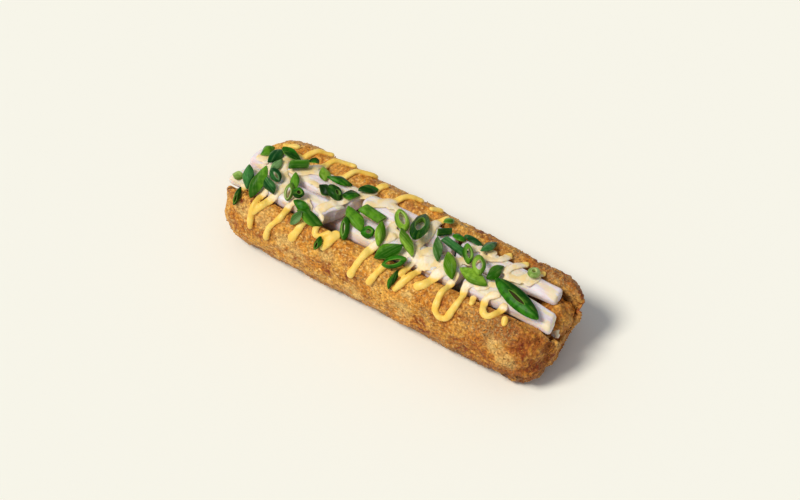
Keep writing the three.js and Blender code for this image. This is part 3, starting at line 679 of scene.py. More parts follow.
def crumb_shape():
    """The corners and faces of a plain crumb with twelve corners and edges of length 2."""
    golden = (1 + math.sqrt(5)) / 2
    upright = [(a, b * golden, 0) for a in (-1, 1) for b in (-1, 1)]
    corners = np.array([np.roll(corner, turn) for turn in range(3) for corner in upright])
    close = np.linalg.norm(corners[:, None] - corners[None], axis=2) < 2.01
    faces = []
    for a, b, c in combinations(range(len(corners)), 3):
        if close[a, b] and close[b, c] and close[a, c]:
            out = np.dot(np.cross(corners[b] - corners[a], corners[c] - corners[a]), corners[a])
            faces.append((a, b, c) if out > 0 else (a, c, b))
    return unit(corners), np.array(faces)


def build_crumbs(points, normals, outside):
    """Small irregular crumbs, half sunk in the crust, thicker towards the table and the near end."""
    shape, faces = crumb_shape()
    weight = outside * (points[:, 2] > 0.8) * lerp(0.6, 1.5, smoothstep(points[:, 0], 0, 80))
    weight = weight * lerp(1.6, 0.8, smoothstep(points[:, 2], 4, 26))
    chosen = RANDOM.choice(len(points), CRUMB_COUNT, replace=False, p=weight / weight.sum())
    size = RANDOM.uniform(*CRUMB_SIZE, CRUMB_COUNT) * RANDOM.uniform(0.6, 1.25, CRUMB_COUNT)
    stretch = RANDOM.uniform((0.8, 0.5, 0.35), (1.5, 1.0, 0.8), (CRUMB_COUNT, 3))
    turns = np.linalg.qr(RANDOM.normal(size=(CRUMB_COUNT, 3, 3)))[0]
    ragged = RANDOM.uniform(0.7, 1.25, (CRUMB_COUNT, len(shape), 1))
    local = shape * ragged * (size[:, None] * stretch)[:, None, :]
    placed = np.einsum("nij,nkj->nki", turns, local)
    placed = placed + (points[chosen] + CRUMB_LIFT * normals[chosen])[:, None, :]
    placed[..., 2] = np.maximum(placed[..., 2], 0)
    all_faces = faces + np.arange(CRUMB_COUNT)[:, None, None] * len(shape)
    tone = np.repeat(RANDOM.uniform(0, 1, CRUMB_COUNT), len(shape))
    add_piece(
        "crust_crumbs", placed.reshape(-1, 3), all_faces.reshape(-1, 3), crumb_material(),
        "fried_roll", {"tone": tone},
    )


# The crab sticks.

# A path is [x, y from the middle of the split, z], and cut says how far the end faces lean.
STICKS = {
    "far_1": ([(-88, 6.6, 35.2), (-60, 6.7, 36.2), (-31, 6.8, 35.8)], (12, 12.6), (9.6, 10), 3),
    "far_2": ([(-28, 6.8, 36), (0, 6.8, 36.4), (23, 6.7, 35.8)], (12.6, 12.2), (10.4, 10), -3),
    "far_3": ([(26, 6.7, 36), (55, 6.7, 36.6), (81, 6.4, 36.6)], (12.4, 8.4), (10, 6.4), -1),
    "near_1": ([(-89, -6.4, 34.8), (-60, -6.8, 36.4), (-37, -6.7, 36.8)], (11.6, 12.6), (9, 10), 8),
    "near_2": ([(-26, -6.8, 35.4), (0, -6.8, 36.2), (34, -6.8, 36)], (12.4, 12.4), (10, 10), 3),
    "near_3": ([(38, -6.8, 36.2), (65, -6.6, 36), (86, -7.6, 34.2)], (12.4, 9.6), (10, 8.4), -2),
    "lower_far": ([(-84, 0, 24.6), (-40, 0.4, 24.8), (0, 0, 24.6)], (13, 13.5), (11.4, 11.6), 1),
    "lower_near": ([(2, 0, 24.6), (50, 0.2, 24.6), (87, -1, 23.8)], (13.5, 8.5), (11.4, 9), -2),
}
STICK_SIDES = 72
STICK_STEP = 0.8
STICK_SQUARENESS = 3.0
STICK_PLUMP = 0.45
STICK_BEVEL = 1.6
STICK_TIP = 0.84
STICK_UNEVEN = 0.035
STICK_SEAMS = [(1.1, 0.18), (2.9, 0.14), (5.0, 0.16)]
STICK_FIBRES = [(0.07, (14, 1.1, 1.1), 0), (0.5, (16, 3.4, 3.4), 9)]
END_SHARES = (0.93, 0.8, 0.64, 0.46, 0.28, 0.1, 0)


def stick_surface(path, wide, tall, cut, phase):
    """Rings of a stick along its path, with rounded ends and the edges of its rolled sheets."""
    path = [(x, y + split_middle(x), z) for x, y, z in path]
    centres = open_curve(path, STICK_STEP)
    steps = len(centres) - 1
    t = np.linspace(0, 1, steps + 1)[:, None]
    from_end = np.minimum(t, 1 - t) * steps * STICK_STEP
    into_bevel = np.clip(from_end / STICK_BEVEL, 0, 1)
    bevel = lerp(STICK_TIP, 1, np.sqrt(1 - (1 - into_bevel) ** 2))
    turn = turns(STICK_SIDES)[None]
    c, s = np.cos(turn), np.sin(turn)
    squared = (np.abs(c) ** STICK_SQUARENESS + np.abs(s) ** STICK_SQUARENESS) ** (-1 / STICK_SQUARENESS)
    x, y, z = (column[:, None] for column in centres.T)
    size = squared * bevel * (1 + STICK_UNEVEN * wave(x, 9 * c, 9 * s, 17, phase))
    seams = 0
    for at, deep in STICK_SEAMS:
        edge = at + phase + 0.35 * np.sin(x / 9 + 2 * phase + at)
        past = np.mod(turn - edge, 2 * math.pi)
        seams = seams - deep * smoothstep(past, 0, 0.08) * smoothstep(past, 1.1, 0.1)
    plump = (STICK_PLUMP + seams) * bevel
    across = c * (size * lerp(*wide, t) / 2 + plump)
    up = s * (size * lerp(*tall, t) / 2 + seams * bevel)
    lean = across / lerp(*wide, t) * cut * np.abs(2 * t - 1) ** 3
    rings = np.stack([x + lean, y + across, z + up], -1)
    return rings, np.broadcast_to(-seams, rings.shape[:2])


def close_stick(rings, phase):
    """The rings of a stick with its two end faces, which sink a little between their sheets."""
    closed = list(rings)
    for first in (True, False):
        ring = rings[0] if first else rings[-1]
        outward = -1 if first else 1
        middle = ring.mean(0)
        for share in END_SHARES:
            inner = lerp(middle, ring, share)
            spiral = np.sin(18 * share + np.linspace(0, 2 * math.pi, len(ring)) + phase)
            sheets = 0.3 * spiral * smoothstep(share, 0, 0.3) * smoothstep(share, 0.95, 0.8)
            inner[:, 0] += outward * (0.25 * (1 - share) + sheets)
            closed = [inner, *closed] if first else [*closed, inner]
    return np.array(closed)


def build_sticks():
    """Every crab stick, and the points and faces for what lies on them."""
    material = crab_material()
    carriers = []
    for phase, (name, (path, wide, tall, cut)) in enumerate(STICKS.items()):
        body, seams = stick_surface(path, wide, tall, cut, phase)
        rings = close_stick(body, phase)
        points = rings.reshape(-1, 3)
        normals = surface_normals(rings).reshape(-1, 3)
        fibres = layered(rough, points, STICK_FIBRES, phase)
        points = points + normals * fibres[:, None]
        faces = skin_faces(*rings.shape[:2])
        # How deep each seam between the sheets lies; the flesh paints shade there.
        deep = np.zeros(rings.shape[:2])
        deep[len(END_SHARES):-len(END_SHARES)] = np.clip(seams * 1.6, 0, 1)
        node = "crab_stick_" + name
        add_piece(node + "_flesh", points, faces, material, node, {"deep": deep.reshape(-1)})
        carriers.append((points, faces))
    return carriers


# The sauce.

SAUCE_STEP = 0.6
SAUCE_SIDES = 12
SAUCE_THICK = {"roll": 2.8, "filling": 1.3, "film": 0.9}
SAUCE_WIDER_ON_FILLING = 1.25
FILM_SPREAD = 1.1
SAUCE_SUNK = 0.3
SAUCE_VOXEL = 0.42
RAY_START = 80
SAUCE_RELAX = {"factor": 0.6, "iterations": 9}

# Each strand's width and the places [x, degrees round] that it runs through.
STRANDS = [
    (3, [(-85, -48), (-80, -38)]),
    (3.2, [(-71, -33), (-73, -48), (-73, -63), (-72, -80)]),
    (3.6, [(-70, 38), (-73, 12), (-70, -4), (-65, -16), (-66, -35), (-70, -53), (-73, -62)]),
    (3.2, [(-54, -28), (-57, -38), (-58, -52), (-62, -67), (-63, -84)]),
    (4.2, [(-54, -24), (-47, -36), (-47, -52), (-50, -70)]),
    (3.4, [(-40, -30), (-40, -44), (-38, -52), (-35, -50), (-31, -42)]),
    (4.4, [(-28, -38), (-30, -50), (-33, -63)]),
    (4, [(-3, -12), (-9, -33), (-12, -52), (-15, -76)]),
    (3.8, [(1, -44), (-1, -54), (-5, -74)]),
    (3, [(13, -24), (11, -38), (9, -51)]),
    (3.6, [(17, -34), (13, -51), (9, -67)]),
    (4.6, [(30, -14), (27, -25), (25, -34), (23, -45), (18, -54)]),
    (3.6, [
        (33, -16), (33, -34), (32, -51), (33, -63), (36, -68),
        (39, -67), (41, -56), (42, -42), (41, -29), (44, -16),
    ]),
    (3, [(46, -33), (48, -46)]),
    (3.6, [(58, -17), (53, -29), (54, -42), (58, -46), (61, -40), (63, -24)]),
    (3.6, [(66, -37), (68, -48)]),
    (3.6, [(-81, 38), (-72, 42)]),
    (3.4, [(-69, 30), (-65, 45), (-60, 54), (-57, 58)]),
    (3.6, [(-68, 0), (-62, 12), (-57, 32), (-54, 46), (-48, 56), (-44, 58)]),
    (3.6, [(-47, 30), (-41, 48), (-35, 58), (-34, 66)]),
    (4.2, [(-44, -32), (-39, -12), (-34, 8), (-28, 26), (-27, 42), (-24, 52)]),
    (4.4, [(-26, 6), (-19, 18), (-15, 40), (-9, 53), (-5, 57)]),
    (3.2, [(-7, -18), (-8, -3), (-5, 10)]),
    (3.8, [(1, 42), (6, 56)]),
    (3.8, [(12, 47), (9, 38), (10, 13), (9, -6), (10, -22)]),
    (3.8, [(15, -28), (25, -15), (33, 4), (40, 17), (47, 26), (48, 46)]),
    (3.4, [(45, -26), (51, -14)]),
    (4, [(51, 10), (55, 28), (58, 47)]),
    (4, [(53, 6), (62, 18), (65, 34), (68, 46)]),
]

# Thin films that the sauce leaves on the filling between the strands, in the same terms.
FILMS = [
    (6, [(-91, -30), (-88, -22)]),
    (5, [(-86, -5), (-83, 2), (-79, -3)]),
    (6, [(-75, 7), (-72, 0), (-70, -16)]),
    (4, [(-66, 2), (-62, 7), (-58, 15), (-53, 19)]),
    (3, [(-57, 0), (-54, 2), (-50, 0)]),
    (5, [(-53, -24), (-49, -29), (-46, -32)]),
    (3, [(-44, -2), (-39, -2), (-36, -3)]),
    (4, [(-22, 17), (-18, 28), (-14, 38)]),
    (4, [(-16, 15), (-13, 23), (-8, 18)]),
    (5, [(-9, -7), (-5, -9), (-1, -13)]),
    (5, [(1, -29), (5, -32), (9, -34)]),
    (5, [(3, -21), (7, -22), (12, -26)]),
    (5, [(8, 11), (9, 22), (7, 38)]),
    (7, [(13, -26), (16, -14), (17, 0)]),
    (7, [(13, -30), (19, -25), (24, -16)]),
    (5, [(21, 3), (29, -8), (33, -5)]),
    (5, [(30, 8), (35, 4), (38, 12)]),
    (5, [(29, 20), (33, 22), (35, 34)]),
    (6, [(35, 21), (39, 29), (44, 27)]),
    (4, [(49, -13), (53, -10), (56, -2)]),
    (6, [(53, 12), (58, 14), (64, 15)]),
    (5, [(64, 10), (66, 20), (67, 36)]),
]


def tree_of(parts):
    """One search tree over several (points, faces) skins."""
    counts = np.cumsum([0] + [len(points) for points, _ in parts])
    points = np.vstack([points for points, _ in parts])
    faces = [face for (_, part), first in zip(parts, counts) for face in (part + first).tolist()]
    return BVHTree.FromPolygons(points.tolist(), faces)


def blurred(values, reach):
    """A run of numbers smoothed over this many steps each way, its ends held."""
    kernel = np.exp(-((np.arange(-3 * reach, 3 * reach + 1) / reach) ** 2))
    padded = np.pad(values, 3 * reach, mode="edge")
    return np.convolve(padded, kernel / kernel.sum(), mode="valid")


def bridged(radius, reach):
    """Heights along a strand with the gaps narrower than twice the reach filled level."""
    count = len(radius)
    window = np.arange(count)[:, None] + np.arange(-reach, reach + 1)
    window = np.clip(window, 0, count - 1)
    return radius[window].max(1)[window].min(1)


def strand_path(places, roll_tree, filling_tree):
    """A strand's points on the skin, the way up at each, and how much of it lies on the filling."""
    route = open_curve([(x, degrees * MM_PER_DEGREE) for x, degrees in places], SAUCE_STEP)
    turn = np.radians(route[:, 1] / MM_PER_DEGREE)
    ups = np.stack([np.zeros(len(turn)), np.sin(turn), np.cos(turn)], 1)
    axis = np.stack([route[:, 0], np.zeros(len(turn)), np.full(len(turn), AXIS_HEIGHT)], 1)

    def skin_radius(tree):
        reach = []
        for start, up in zip(axis, ups):
            hit = tree.ray_cast(Vector(start + RAY_START * up), Vector(-up))[0]
            reach.append((np.array(hit) - start) @ up if hit else 0.0)
        return np.array(reach)

    on_roll, on_filling = skin_radius(roll_tree), skin_radius(filling_tree)
    radius = blurred(bridged(np.maximum(on_roll, on_filling), 5), 2)
    share = blurred((on_filling > on_roll).astype(float), 3)
    return axis + ups * radius[:, None], ups, share


def strand_skin(wide, places, film, roll_tree, filling_tree, phase):
    """Points and faces of one strand: an oval section that swells and thins, with round tips."""
    path, ups, share = strand_path(places, roll_tree, filling_tree)
    along = unit(np.gradient(path, axis=0))
    side = unit(np.cross(ups, along))
    top = np.cross(along, side)
    count = len(path)
    from_tip = np.minimum(np.arange(count), np.arange(count)[::-1]) * SAUCE_STEP
    steps = np.arange(count) * SAUCE_STEP
    swell = 1 + 0.1 * np.sin(0.45 * steps + phase) + 0.06 * np.sin(1.1 * steps + 2 * phase)
    width = wide * swell * (FILM_SPREAD if film else lerp(1, SAUCE_WIDER_ON_FILLING, share))
    round_tip = np.sqrt(1 - (1 - np.clip(from_tip / (0.5 * width), 0.03, 1)) ** 2)
    least = SAUCE_THICK["film" if film else "roll"]
    thick = lerp(least, min(least, SAUCE_THICK["filling"]), share) * (1 + 0.5 * (swell - 1))
    turn = turns(SAUCE_SIDES)
    centre = path + top * (thick * (0.5 - SAUCE_SUNK))[:, None]
    out = (width * round_tip / 2)[:, None, None] * side[:, None] * np.cos(turn)[None, :, None]
    rise = (thick * round_tip / 2)[:, None, None] * top[:, None] * np.sin(turn)[None, :, None]
    rings = centre[:, None] + out + rise
    faces = skin_faces(*rings.shape[:2]).tolist()
    ends = [list(range(SAUCE_SIDES))[::-1], list(range((count - 1) * SAUCE_SIDES, count * SAUCE_SIDES))]
    return rings.reshape(-1, 3), faces + ends


def melted(points, faces):
    """One skin round all the strands, rounded where they meet, as points and faces."""
    mesh = bpy.data.meshes.new("strands")
    mesh.from_pydata(points.tolist(), [], faces)
    source = add_object("strands", mesh)
    remesh = source.modifiers.new("skin", "REMESH")
    remesh.mode = "VOXEL"
    remesh.voxel_size = SAUCE_VOXEL
    relax = source.modifiers.new("relax", "SMOOTH")
    relax.factor = SAUCE_RELAX["factor"]
    relax.iterations = SAUCE_RELAX["iterations"]
    result = source.evaluated_get(bpy.context.evaluated_depsgraph_get()).to_mesh()
    new_points = np.array([v.co[:] for v in result.vertices])
    new_faces = np.array([list(p.vertices) for p in result.polygons])
    bpy.data.objects.remove(source)
    return new_points, new_faces


def build_sauce(roll, sticks):
    """The zigzag of sauce, which lies on the crust and on the sticks."""
    roll_tree, filling_tree = tree_of([roll]), tree_of(sticks)
    points, faces = [], []
    for phase, (wide, places) in enumerate(STRANDS + FILMS):
        first = sum(len(part) for part in points)
        film = phase >= len(STRANDS)
        part, part_faces = strand_skin(wide, places, film, roll_tree, filling_tree, phase)
        points.append(part)
        faces += [[index + first for index in face] for face in part_faces]
    skin, skin_quads = melted(np.vstack(points), faces)
    to_roll = np.array([roll_tree.find_nearest(p)[3] for p in skin.tolist()])
    to_filling = np.array([filling_tree.find_nearest(p)[3] for p in skin.tolist()])
    thin = smoothstep(to_roll - to_filling, -1.0, 1.8)
    add_piece("drizzled_sauce", skin, skin_quads, sauce_material(), "fried_roll", {"thin": thin})


# The slices of spring onion.

RING_SIDES = 56
LEAF_STATIONS = 36
LEAF_ACROSS = 13
LEAF_THICK = 0.45
LEAF_ARCH = 1.5
LEAF_BEND = 0.6

# Each slice: kind, length, width and what else shapes it, place [x, degrees round], how its length
# turns from +X, how it tips to its side and pitches along its length, and its shade of green.
SLICES = [
    ("leaf", 9, 5.5, {"lean": -0.3}, (-83.5, 13), 72, 0, 0, "mid"),
    ("leaf", 12.5, 5.5, {}, (-78, 10), 82, 10, 0, "teal"),
    ("leaf", 11, 6, {}, (-72, 19), 2, 0, 12, "dark"),
    ("tube", 9.5, 5, {}, (-64.5, 9), 38, 0, 0, "mid"),
    ("leaf", 5.5, 2.8, {}, (-59, 18), 52, 0, 12, "dark"),
    ("leaf", 6, 4, {}, (-88, -35), 12, 0, 0, "pale"),
    ("leaf", 12, 5.5, {}, (-82.5, -31), -67, 0, 0, "teal"),
    ("ring", 9.5, 3.2, {"filled": True, "hole": (0.5, 0.35)}, (-82.8, -53), -88, 0, 0, "dark"),
    ("leaf", 17.5, 6.5, {"lean": 0.15}, (-76.2, -31), -89, 0, 0, "mid"),
    ("leaf", 9, 3.5, {}, (-74.5, -3), 80, 20, 0, "sage"),
    ("ring", 8.5, 5.5, {"hole": (0.5, 0.2)}, (-70.9, -16), -28, 0, 6, "teal"),
    ("leaf", 9, 5, {"lean": -0.2}, (-69.9, -29), -42, 0, 18, "teal"),
    ("leaf", 10.5, 4.5, {}, (-61, -12), -64, 15, 0, "mid"),
    ("ring", 9.5, 4.8, {"hole": (0.6, 0.45)}, (-60, -26), -71, 0, 0, "pale"),
    ("ring", 6, 5.5, {"filled": True, "hole": (0.4, 0.35)}, (-55, -23), 20, 0, 18, "dark"),
    ("leaf", 9.5, 5.2, {}, (-50.7, -32), -8, 20, 6, "dark"),
    ("leaf", 14.5, 6, {"lean": 0.2}, (-44.2, -39), -6, 5, 18, "mid"),
    ("leaf", 10, 4, {}, (-49.6, -44), -112, 0, 18, "sage"),
    ("leaf", 10.5, 5.5, {"lean": 0.2}, (-52.5, 20), 128, 0, 0, "bright"),
    ("leaf", 13, 5, {}, (-43.3, 17), 20, 0, 6, "dark"),
    ("leaf", 8, 5.5, {"lean": 0.3}, (-46.8, -1), -15, 0, 0, "deep"),
    ("ring", 9.5, 7, {"tall": 3, "hole": (0.3, 0.3)}, (-41.5, 0), -24, -15, 18, "deep"),
    ("leaf", 9, 6, {"lean": -0.25}, (-33.9, 6), 45, 0, 12, "dark"),
    ("leaf", 10.5, 6.5, {}, (-29.5, 27), 50, 0, 0, "dark"),
    ("leaf", 15, 7, {"lean": -0.2}, (-25, -18), -34, 0, 0, "mid"),
    ("ring", 11.5, 5.2, {"hole": (0.55, 0.3)}, (-26.3, -33), -68, 10, 6, "mid"),
    ("tube", 11.5, 6, {}, (-19.3, -3.5), 0, -10, 12, "mid"),
    ("ring", 6.8, 6.5, {"hole": (0.45, 0.35)}, (-15.3, -25), 40, 5, 12, "dark"),
    ("leaf", 12.5, 5, {}, (-9.4, -21), -69, -20, 6, "bright"),
    ("ring", 7, 3.6, {"filled": True, "hole": (0.55, 0.35)}, (-34.5, -56), -90, 0, 0, "dark"),
    ("ring", 15, 7, {"hole": (0.55, 0.45)}, (-4.5, 6.5), -45, 0, 0, "bright"),
    ("leaf", 15.5, 5, {"lean": -0.2}, (4.7, -16), -40, 5, 6, "bright"),
    ("leaf", 16, 7.5, {"lean": 0.2}, (-0.8, -33), 48, 0, -6, "mid"),
    ("ring", 13.5, 6.2, {"hole": (0.6, 0.35)}, (5, -39), 38, 0, 0, "dark"),
    ("leaf", 11, 3.5, {"lean": 0.3}, (7, -56), -97, 0, 0, "dark"),
    ("ring", 25.5, 9, {"tall": 3.2, "hole": (0.5, 0.45)}, (5.3, 7), -73, 0, -18, "dark"),
    ("leaf", 7.5, 5.5, {"lean": -0.25}, (13.5, 38), 70, 0, 0, "mid"),
    ("tube", 7.5, 4.5, {"tall": 3}, (16, 20), 50, 0, 0, "dark"),
    ("leaf", 14, 4.5, {}, (19, -5), -59, 0, 0, "sage"),
    ("tube", 12.5, 4.5, {"tall": 3}, (24.8, 7), 2, 0, 18, "teal"),
    ("leaf", 7, 5.5, {"lean": 0.3}, (23.5, 25), 12, 0, 0, "dark"),
    ("leaf", 11, 5, {"lean": 0.2}, (29.5, 33), -6, 0, 0, "teal"),
    ("ring", 11, 5.5, {"hole": (0.5, 0.45)}, (33, 6), -55, -15, 18, "mid"),
    ("leaf", 14.5, 5, {"lean": -0.25}, (38.5, 30), 84, 0, 0, "teal"),
    ("leaf", 14.5, 6, {}, (29, -16), -52, 0, 0, "bright"),
    ("leaf", 16.5, 6.5, {}, (42, -15), -6, 0, 0, "bright"),
    ("ring", 12, 6.8, {"tall": 2, "hole": (0.5, 0.45)}, (41.8, -2.2), -57, 0, 0, "bright"),
    ("leaf", 11.5, 6.5, {"lean": -0.3}, (49.3, 4), 75, 0, 0, "mid"),
    ("ring", 9.5, 6.5, {"hole": (0.4, 0.35)}, (65, 27), -83, 0, 0, "pale"),
    ("ring", 31, 9.5, {"filled": True, "hole": (0.36, 0.2)}, (67, -15), -16, 0, 0, "dark"),
]


def closed_skin(rings):
    """Faces of a skin over rings that close on themselves both ways."""
    count, around = len(rings), len(rings[0])
    j = np.arange(around)
    last = (count - 1) * around
    closing = np.stack([last + j, last + (j + 1) % around, (j + 1) % around, j], 1)
    return np.vstack([skin_faces(count, around), closing])


def ring_slice(number, long, wide, hole, tall=2.6, filled=False):
    """A bias-cut ring: a pointed oval whose skin rises to a pale rim round its opening.

    The far side of the tube closes the opening of a filled one.
    """
    turn = turns(RING_SIDES)
    c, s = np.cos(turn), np.sin(turn)
    aside = 0.05 * long * math.cos(2.3 * number)

    def loop(closer, inset, z):
        half_long = lerp(1, hole[0], closer) * long / 2 - inset
        half_wide = lerp(1, hole[1], closer) * wide / 2 - inset
        x = c * half_long + aside * closer + 0.9 * (z / tall - 0.5)
        y = s * np.abs(s) ** 0.35 * half_wide
        return np.stack([x, y, np.full(RING_SIDES, z)], 1)

    # How far towards the opening, how far further in, how high as a share, and how pale.
    rim = min(0.35, 0.1 * wide)
    profile = [
        (0, 0.2, 0, 0.5), (0, 0, 0.12, 0), (0.04, 0, 0.4, 0), (0.2, 0, 0.7, 0), (0.5, 0, 0.9, 0),
        (1, -1.5 * rim, 0.99, 0), (1, -rim, 1.0, 0.3), (1, -0.3 * rim, 1.0, 0.6), (1, 0, 0.92, 0.7),
        (1, 0, 0.5, 0.6), (1, 0, 0.12, 0.5), (1, -0.3, 0, 0.5),
    ]
    rings = np.array([loop(closer, inset, z * tall) for closer, inset, z, _ in profile])
    cut = np.repeat([p[3] for p in profile], RING_SIDES)
    points, faces = rings.reshape(-1, 3), closed_skin(rings).tolist()
    across = points[:, 1] * 2 / wide
    if not filled:
        return points, faces, {"cut": cut, "across": across}
    floor = loop(1, 0, 0.55 * tall)
    middle = len(points) + RING_SIDES
    edge = np.arange(len(points), middle)
    faces += np.stack([edge, np.roll(edge, -1), np.full(RING_SIDES, middle)], 1).tolist()
    return np.vstack([points, floor, floor.mean(0)]), faces, {
        "cut": np.append(cut, np.zeros(RING_SIDES + 1)),
        "across": np.append(across, floor[:, 1].tolist() + [0]),
        "dim": np.append(0 * cut, np.ones(RING_SIDES + 1)),
    }


def leaf_slice(number, long, wide, lean=0):
    """A piece of the green opened out: a thin leaf with bias-cut points and a fold along it."""
    t = np.linspace(-1, 1, LEAF_STATIONS)[:, None]
    leaning = lean * (1 - t * t)
    fold = 0.5 * math.sin(2.7 * number)

    def half(t):
        return (wide / 2) * np.clip(1 - np.abs(t) ** 1.8, 0, 1) ** 0.9 + 0.3

    across = np.linspace(1, -1, LEAF_ACROSS)[None]
    y = np.where(across > 0, half(t + leaning), half(t - leaning)) * across
    crown = LEAF_ARCH * np.sqrt(half(t) / (wide / 2))
    gap = np.abs(across - fold) / (1 + np.sign(across - fold) * -fold)
    rise = LEAF_BEND * (1 - t * t) + crown * (1 - gap**1.4)
    rise = rise + 0.3 * np.sin(2.6 * t + number) * across
    x = np.broadcast_to(t * long / 2, rise.shape)
    upper = np.stack([x, y, rise + LEAF_THICK * (1 - 0.5 * across**4)], -1)
    lower = np.stack([x, y, rise + 0.1 * across**4], -1)[:, ::-1]
    rings = np.concatenate([upper, lower], 1)
    edge = np.concatenate([across, across[:, ::-1]], 1) * (-1) ** number > 0.99
    cut = np.broadcast_to(edge * 0.6, rings.shape[:2]).copy()
    cut[:, LEAF_ACROSS:] += 0.4
    count = rings.shape[1]
    last = (LEAF_STATIONS - 1) * count
    ends = [list(range(count))[::-1], list(range(last, last + count))]
    faces = skin_faces(LEAF_STATIONS, count).tolist() + ends
    points = rings.reshape(-1, 3)
    straight = points[:, 1] * 2 / wide + 0.16 * points[:, 0] * math.sin(1.9 * number)
    return points, faces, {"cut": cut.reshape(-1), "across": straight}


def tube_slice(number, long, wide, tall=3.6):
    """A short tube that lies on its side, cut on the bias, both ends open."""
    turn = turns(RING_SIDES)

    def loop(end, inset, back):
        y = np.cos(turn) * (wide / 2 - inset)
        z = tall / 2 + np.sin(turn) * (tall / 2 - inset)
        return np.stack([end * (long / 2 - back) + 0.35 * y, y, z], 1)

    # Which end, how far inside the skin, how far back from the end, and how pale.
    rim, wall = 0.18, 0.8
    outside = [(-1, 0, rim, 0.1), (-0.5, 0, 0, 0), (0, 0, 0, 0), (0.5, 0, 0, 0), (1, 0, rim, 0.1)]
    near_cut = [(1, rim, 0, 0.9), (1, wall - rim, 0, 1), (1, wall, rim, 0.7)]
    far_cut = [(-1, wall, rim, 0.7), (-1, wall - rim, 0, 1), (-1, rim, 0, 0.9)]
    profile = [*outside, *near_cut, (0, wall, 0, 0.4), *far_cut]
    rings = np.array([loop(end, inset, back) for end, inset, back, _ in profile])
    cut = np.repeat([p[3] for p in profile], RING_SIDES)
    across = np.tile(turn / 2, len(profile))
    return rings.reshape(-1, 3), closed_skin(rings), {"cut": cut, "across": across}


SLICE_KINDS = {"ring": ring_slice, "leaf": leaf_slice, "tube": tube_slice}


def slice_frame(degrees, yaw, tip, pitch):
    """The way up of a slice that lies on the skin this far round, and its turn."""
    turn = math.radians(degrees)
    up = Vector((0, math.sin(turn), math.cos(turn)))
    along = Vector((1, 0, 0))
    frame = Matrix((along, up.cross(along), up)).transposed()
    tilt = Matrix.Rotation(math.radians(pitch), 3, "Y") @ Matrix.Rotation(math.radians(tip), 3, "X")
    spin = Matrix.Rotation(math.radians(yaw), 3, "Z") @ tilt
    return np.array(up), np.array(frame @ spin)


def slice_place(node, x, up, turned):
    """Where a slice's middle lies: on its ray from the roll's axis, its sole at that of its node."""
    corners = np.array([v.co[:] for v in frame["nodes"][node].data.vertices]) * 1000 - CENTRING
    axis = np.array([x, 0, AXIS_HEIGHT])
    lowest = ((corners - axis) @ turned[:, 2]).min()
    return axis + up * lowest / (up @ turned[:, 2])


def build_slices():
    """Every slice of spring onion, each in the place of its node."""
    materials = {shade: onion_material(shade) for shade in SHADES}
    for number, (kind, long, wide, more, (x, degrees), yaw, tip, pitch, shade) in enumerate(SLICES, 1):
        node = f"spring_onion_{number:02d}"
        points, faces, attributes = SLICE_KINDS[kind](number, long, wide, **more)
        uneven = [rough(points, 3.6, number + k) for k in (0.1, 0.4, 0.7)]
        points = points + 0.2 * np.stack(uneven, 1)
        up, turned = slice_frame(degrees, yaw, tip, pitch)
        points = points @ turned.T + slice_place(node, x, up, turned)
        lit = np.sin(1.6 * attributes["across"] + 2.07 * number)
        attributes["lit"] = smoothstep(lit, -0.7, 0.7)
        attributes["across"] = attributes["across"] + 3 * number
        add_piece(node + "_slice", points, faces, materials[shade], node, attributes)


# Camera, light and floor.

CAMERA = {"azimuth": 32.5, "elevation": 54, "distance": 4000, "pixels_per_mm": 2.06}
PHOTO_WIDTH = 800
PHOTO_HEIGHT = 500
AXIS_IN_PHOTO = (406.9, 258.9)
SENSOR = 36


def build_camera():
    """The camera at the photograph's angle, with the roll's axis where the photograph has it."""
    azimuth, elevation = math.radians(CAMERA["azimuth"]), math.radians(CAMERA["elevation"])
    back = Vector((
        math.sin(azimuth) * math.cos(elevation),
        -math.cos(azimuth) * math.cos(elevation),
        math.sin(elevation),
    ))
    right = Vector((math.cos(azimuth), math.sin(azimuth), 0))
    up = back.cross(right)
    scale = CAMERA["pixels_per_mm"]
    aside = (AXIS_IN_PHOTO[0] - PHOTO_WIDTH / 2) / scale
    below = (AXIS_IN_PHOTO[1] - PHOTO_HEIGHT / 2) / scale
    target = Vector((0, 0, AXIS_HEIGHT)) + Vector(CENTRING) - aside * right + below * up
    data = bpy.data.cameras.new("camera")
    data.sensor_width = SENSOR
    data.lens = SENSOR * CAMERA["distance"] * scale / PHOTO_WIDTH
    data.clip_end = 100
    camera = add_object("camera", data)
    camera.location = (target + CAMERA["distance"] * back) / 1000
    camera.rotation_euler = (-back).to_track_quat("-Z", "Y").to_euler()
    bpy.context.scene.camera = camera


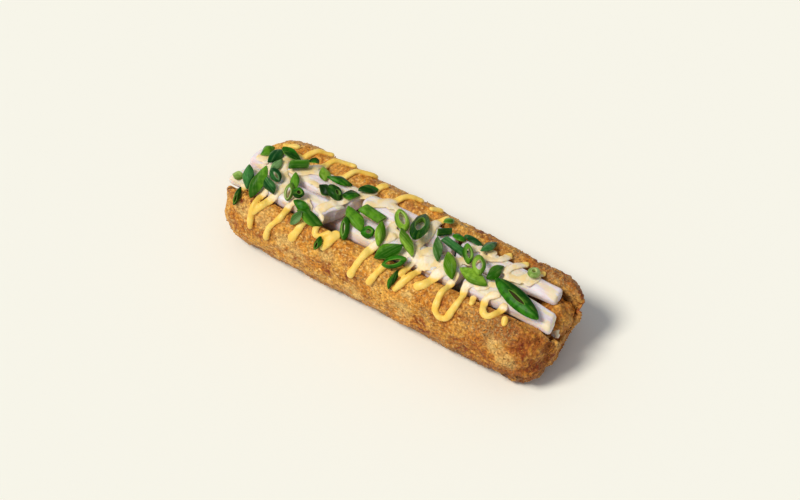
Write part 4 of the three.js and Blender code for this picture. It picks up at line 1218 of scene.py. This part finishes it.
KEY_DIRECTION = Vector((-0.31, -0.44, 0.85))
KEY_COLOUR = (1.0, 0.97, 0.92)
KEY_STRENGTH = 2.4
KEY_SOFTNESS = 20
SKY_COLOUR = (0.86, 0.94, 1.08)
SKY_STRENGTH = 0.36
FLOOR_AS_SEEN = colour(247, 245, 233)
FLOOR_REACH = 6


def build_light():
    """A soft key from above, the far end and the near side, and a cool, even fill."""
    data = bpy.data.lights.new("key", "SUN")
    data.energy = KEY_STRENGTH
    data.angle = math.radians(KEY_SOFTNESS)
    data.color = KEY_COLOUR
    key = add_object("key", data)
    key.rotation_euler = KEY_DIRECTION.to_track_quat("Z", "Y").to_euler()
    world = bpy.data.worlds.new("fill")
    world.use_nodes = True
    sky = world.node_tree.nodes["Background"]
    sky.inputs["Color"].default_value = (*SKY_COLOUR, 1)
    sky.inputs["Strength"].default_value = SKY_STRENGTH
    bpy.context.scene.world = world


def build_floor():
    """A wide plain cream floor, of the colour that looks cream under this light."""
    key = KEY_STRENGTH * KEY_DIRECTION.normalized().z / math.pi
    light = [key * k + SKY_STRENGTH * s for k, s in zip(KEY_COLOUR, SKY_COLOUR)]
    own = [seen / lit for seen, lit in zip(FLOOR_AS_SEEN, light)]
    s = Shader("floor", Roughness=0.9, Specular_IOR_Level=0.0)
    s.set("Base Color", (*own, 1))
    mesh = bpy.data.meshes.new("floor")
    corners = [(x * FLOOR_REACH, y * FLOOR_REACH, 0) for x, y in ((-1, -1), (1, -1), (1, 1), (-1, 1))]
    mesh.from_pydata(corners, [], [(0, 1, 2, 3)])
    mesh.materials.append(s.material)
    floor = add_object("floor", mesh)


def build():
    """The whole scene: stage, crust, filling and toppings. The lining keeps its solid."""
    build_camera()
    build_light()
    build_floor()
    crust = crust_material()
    points, faces, normals, outside = build_crust(crust)
    build_crag(crust)
    build_crumbs(points, normals, outside)
    sticks = build_sticks()
    build_sauce((points, faces), sticks)
    build_slices()
    lining = frame["nodes"]["nori_lining"]
    lining.data.materials.clear()
    lining.data.materials.append(nori_material())
    bpy.context.scene.view_settings.view_transform = "Standard"


build()
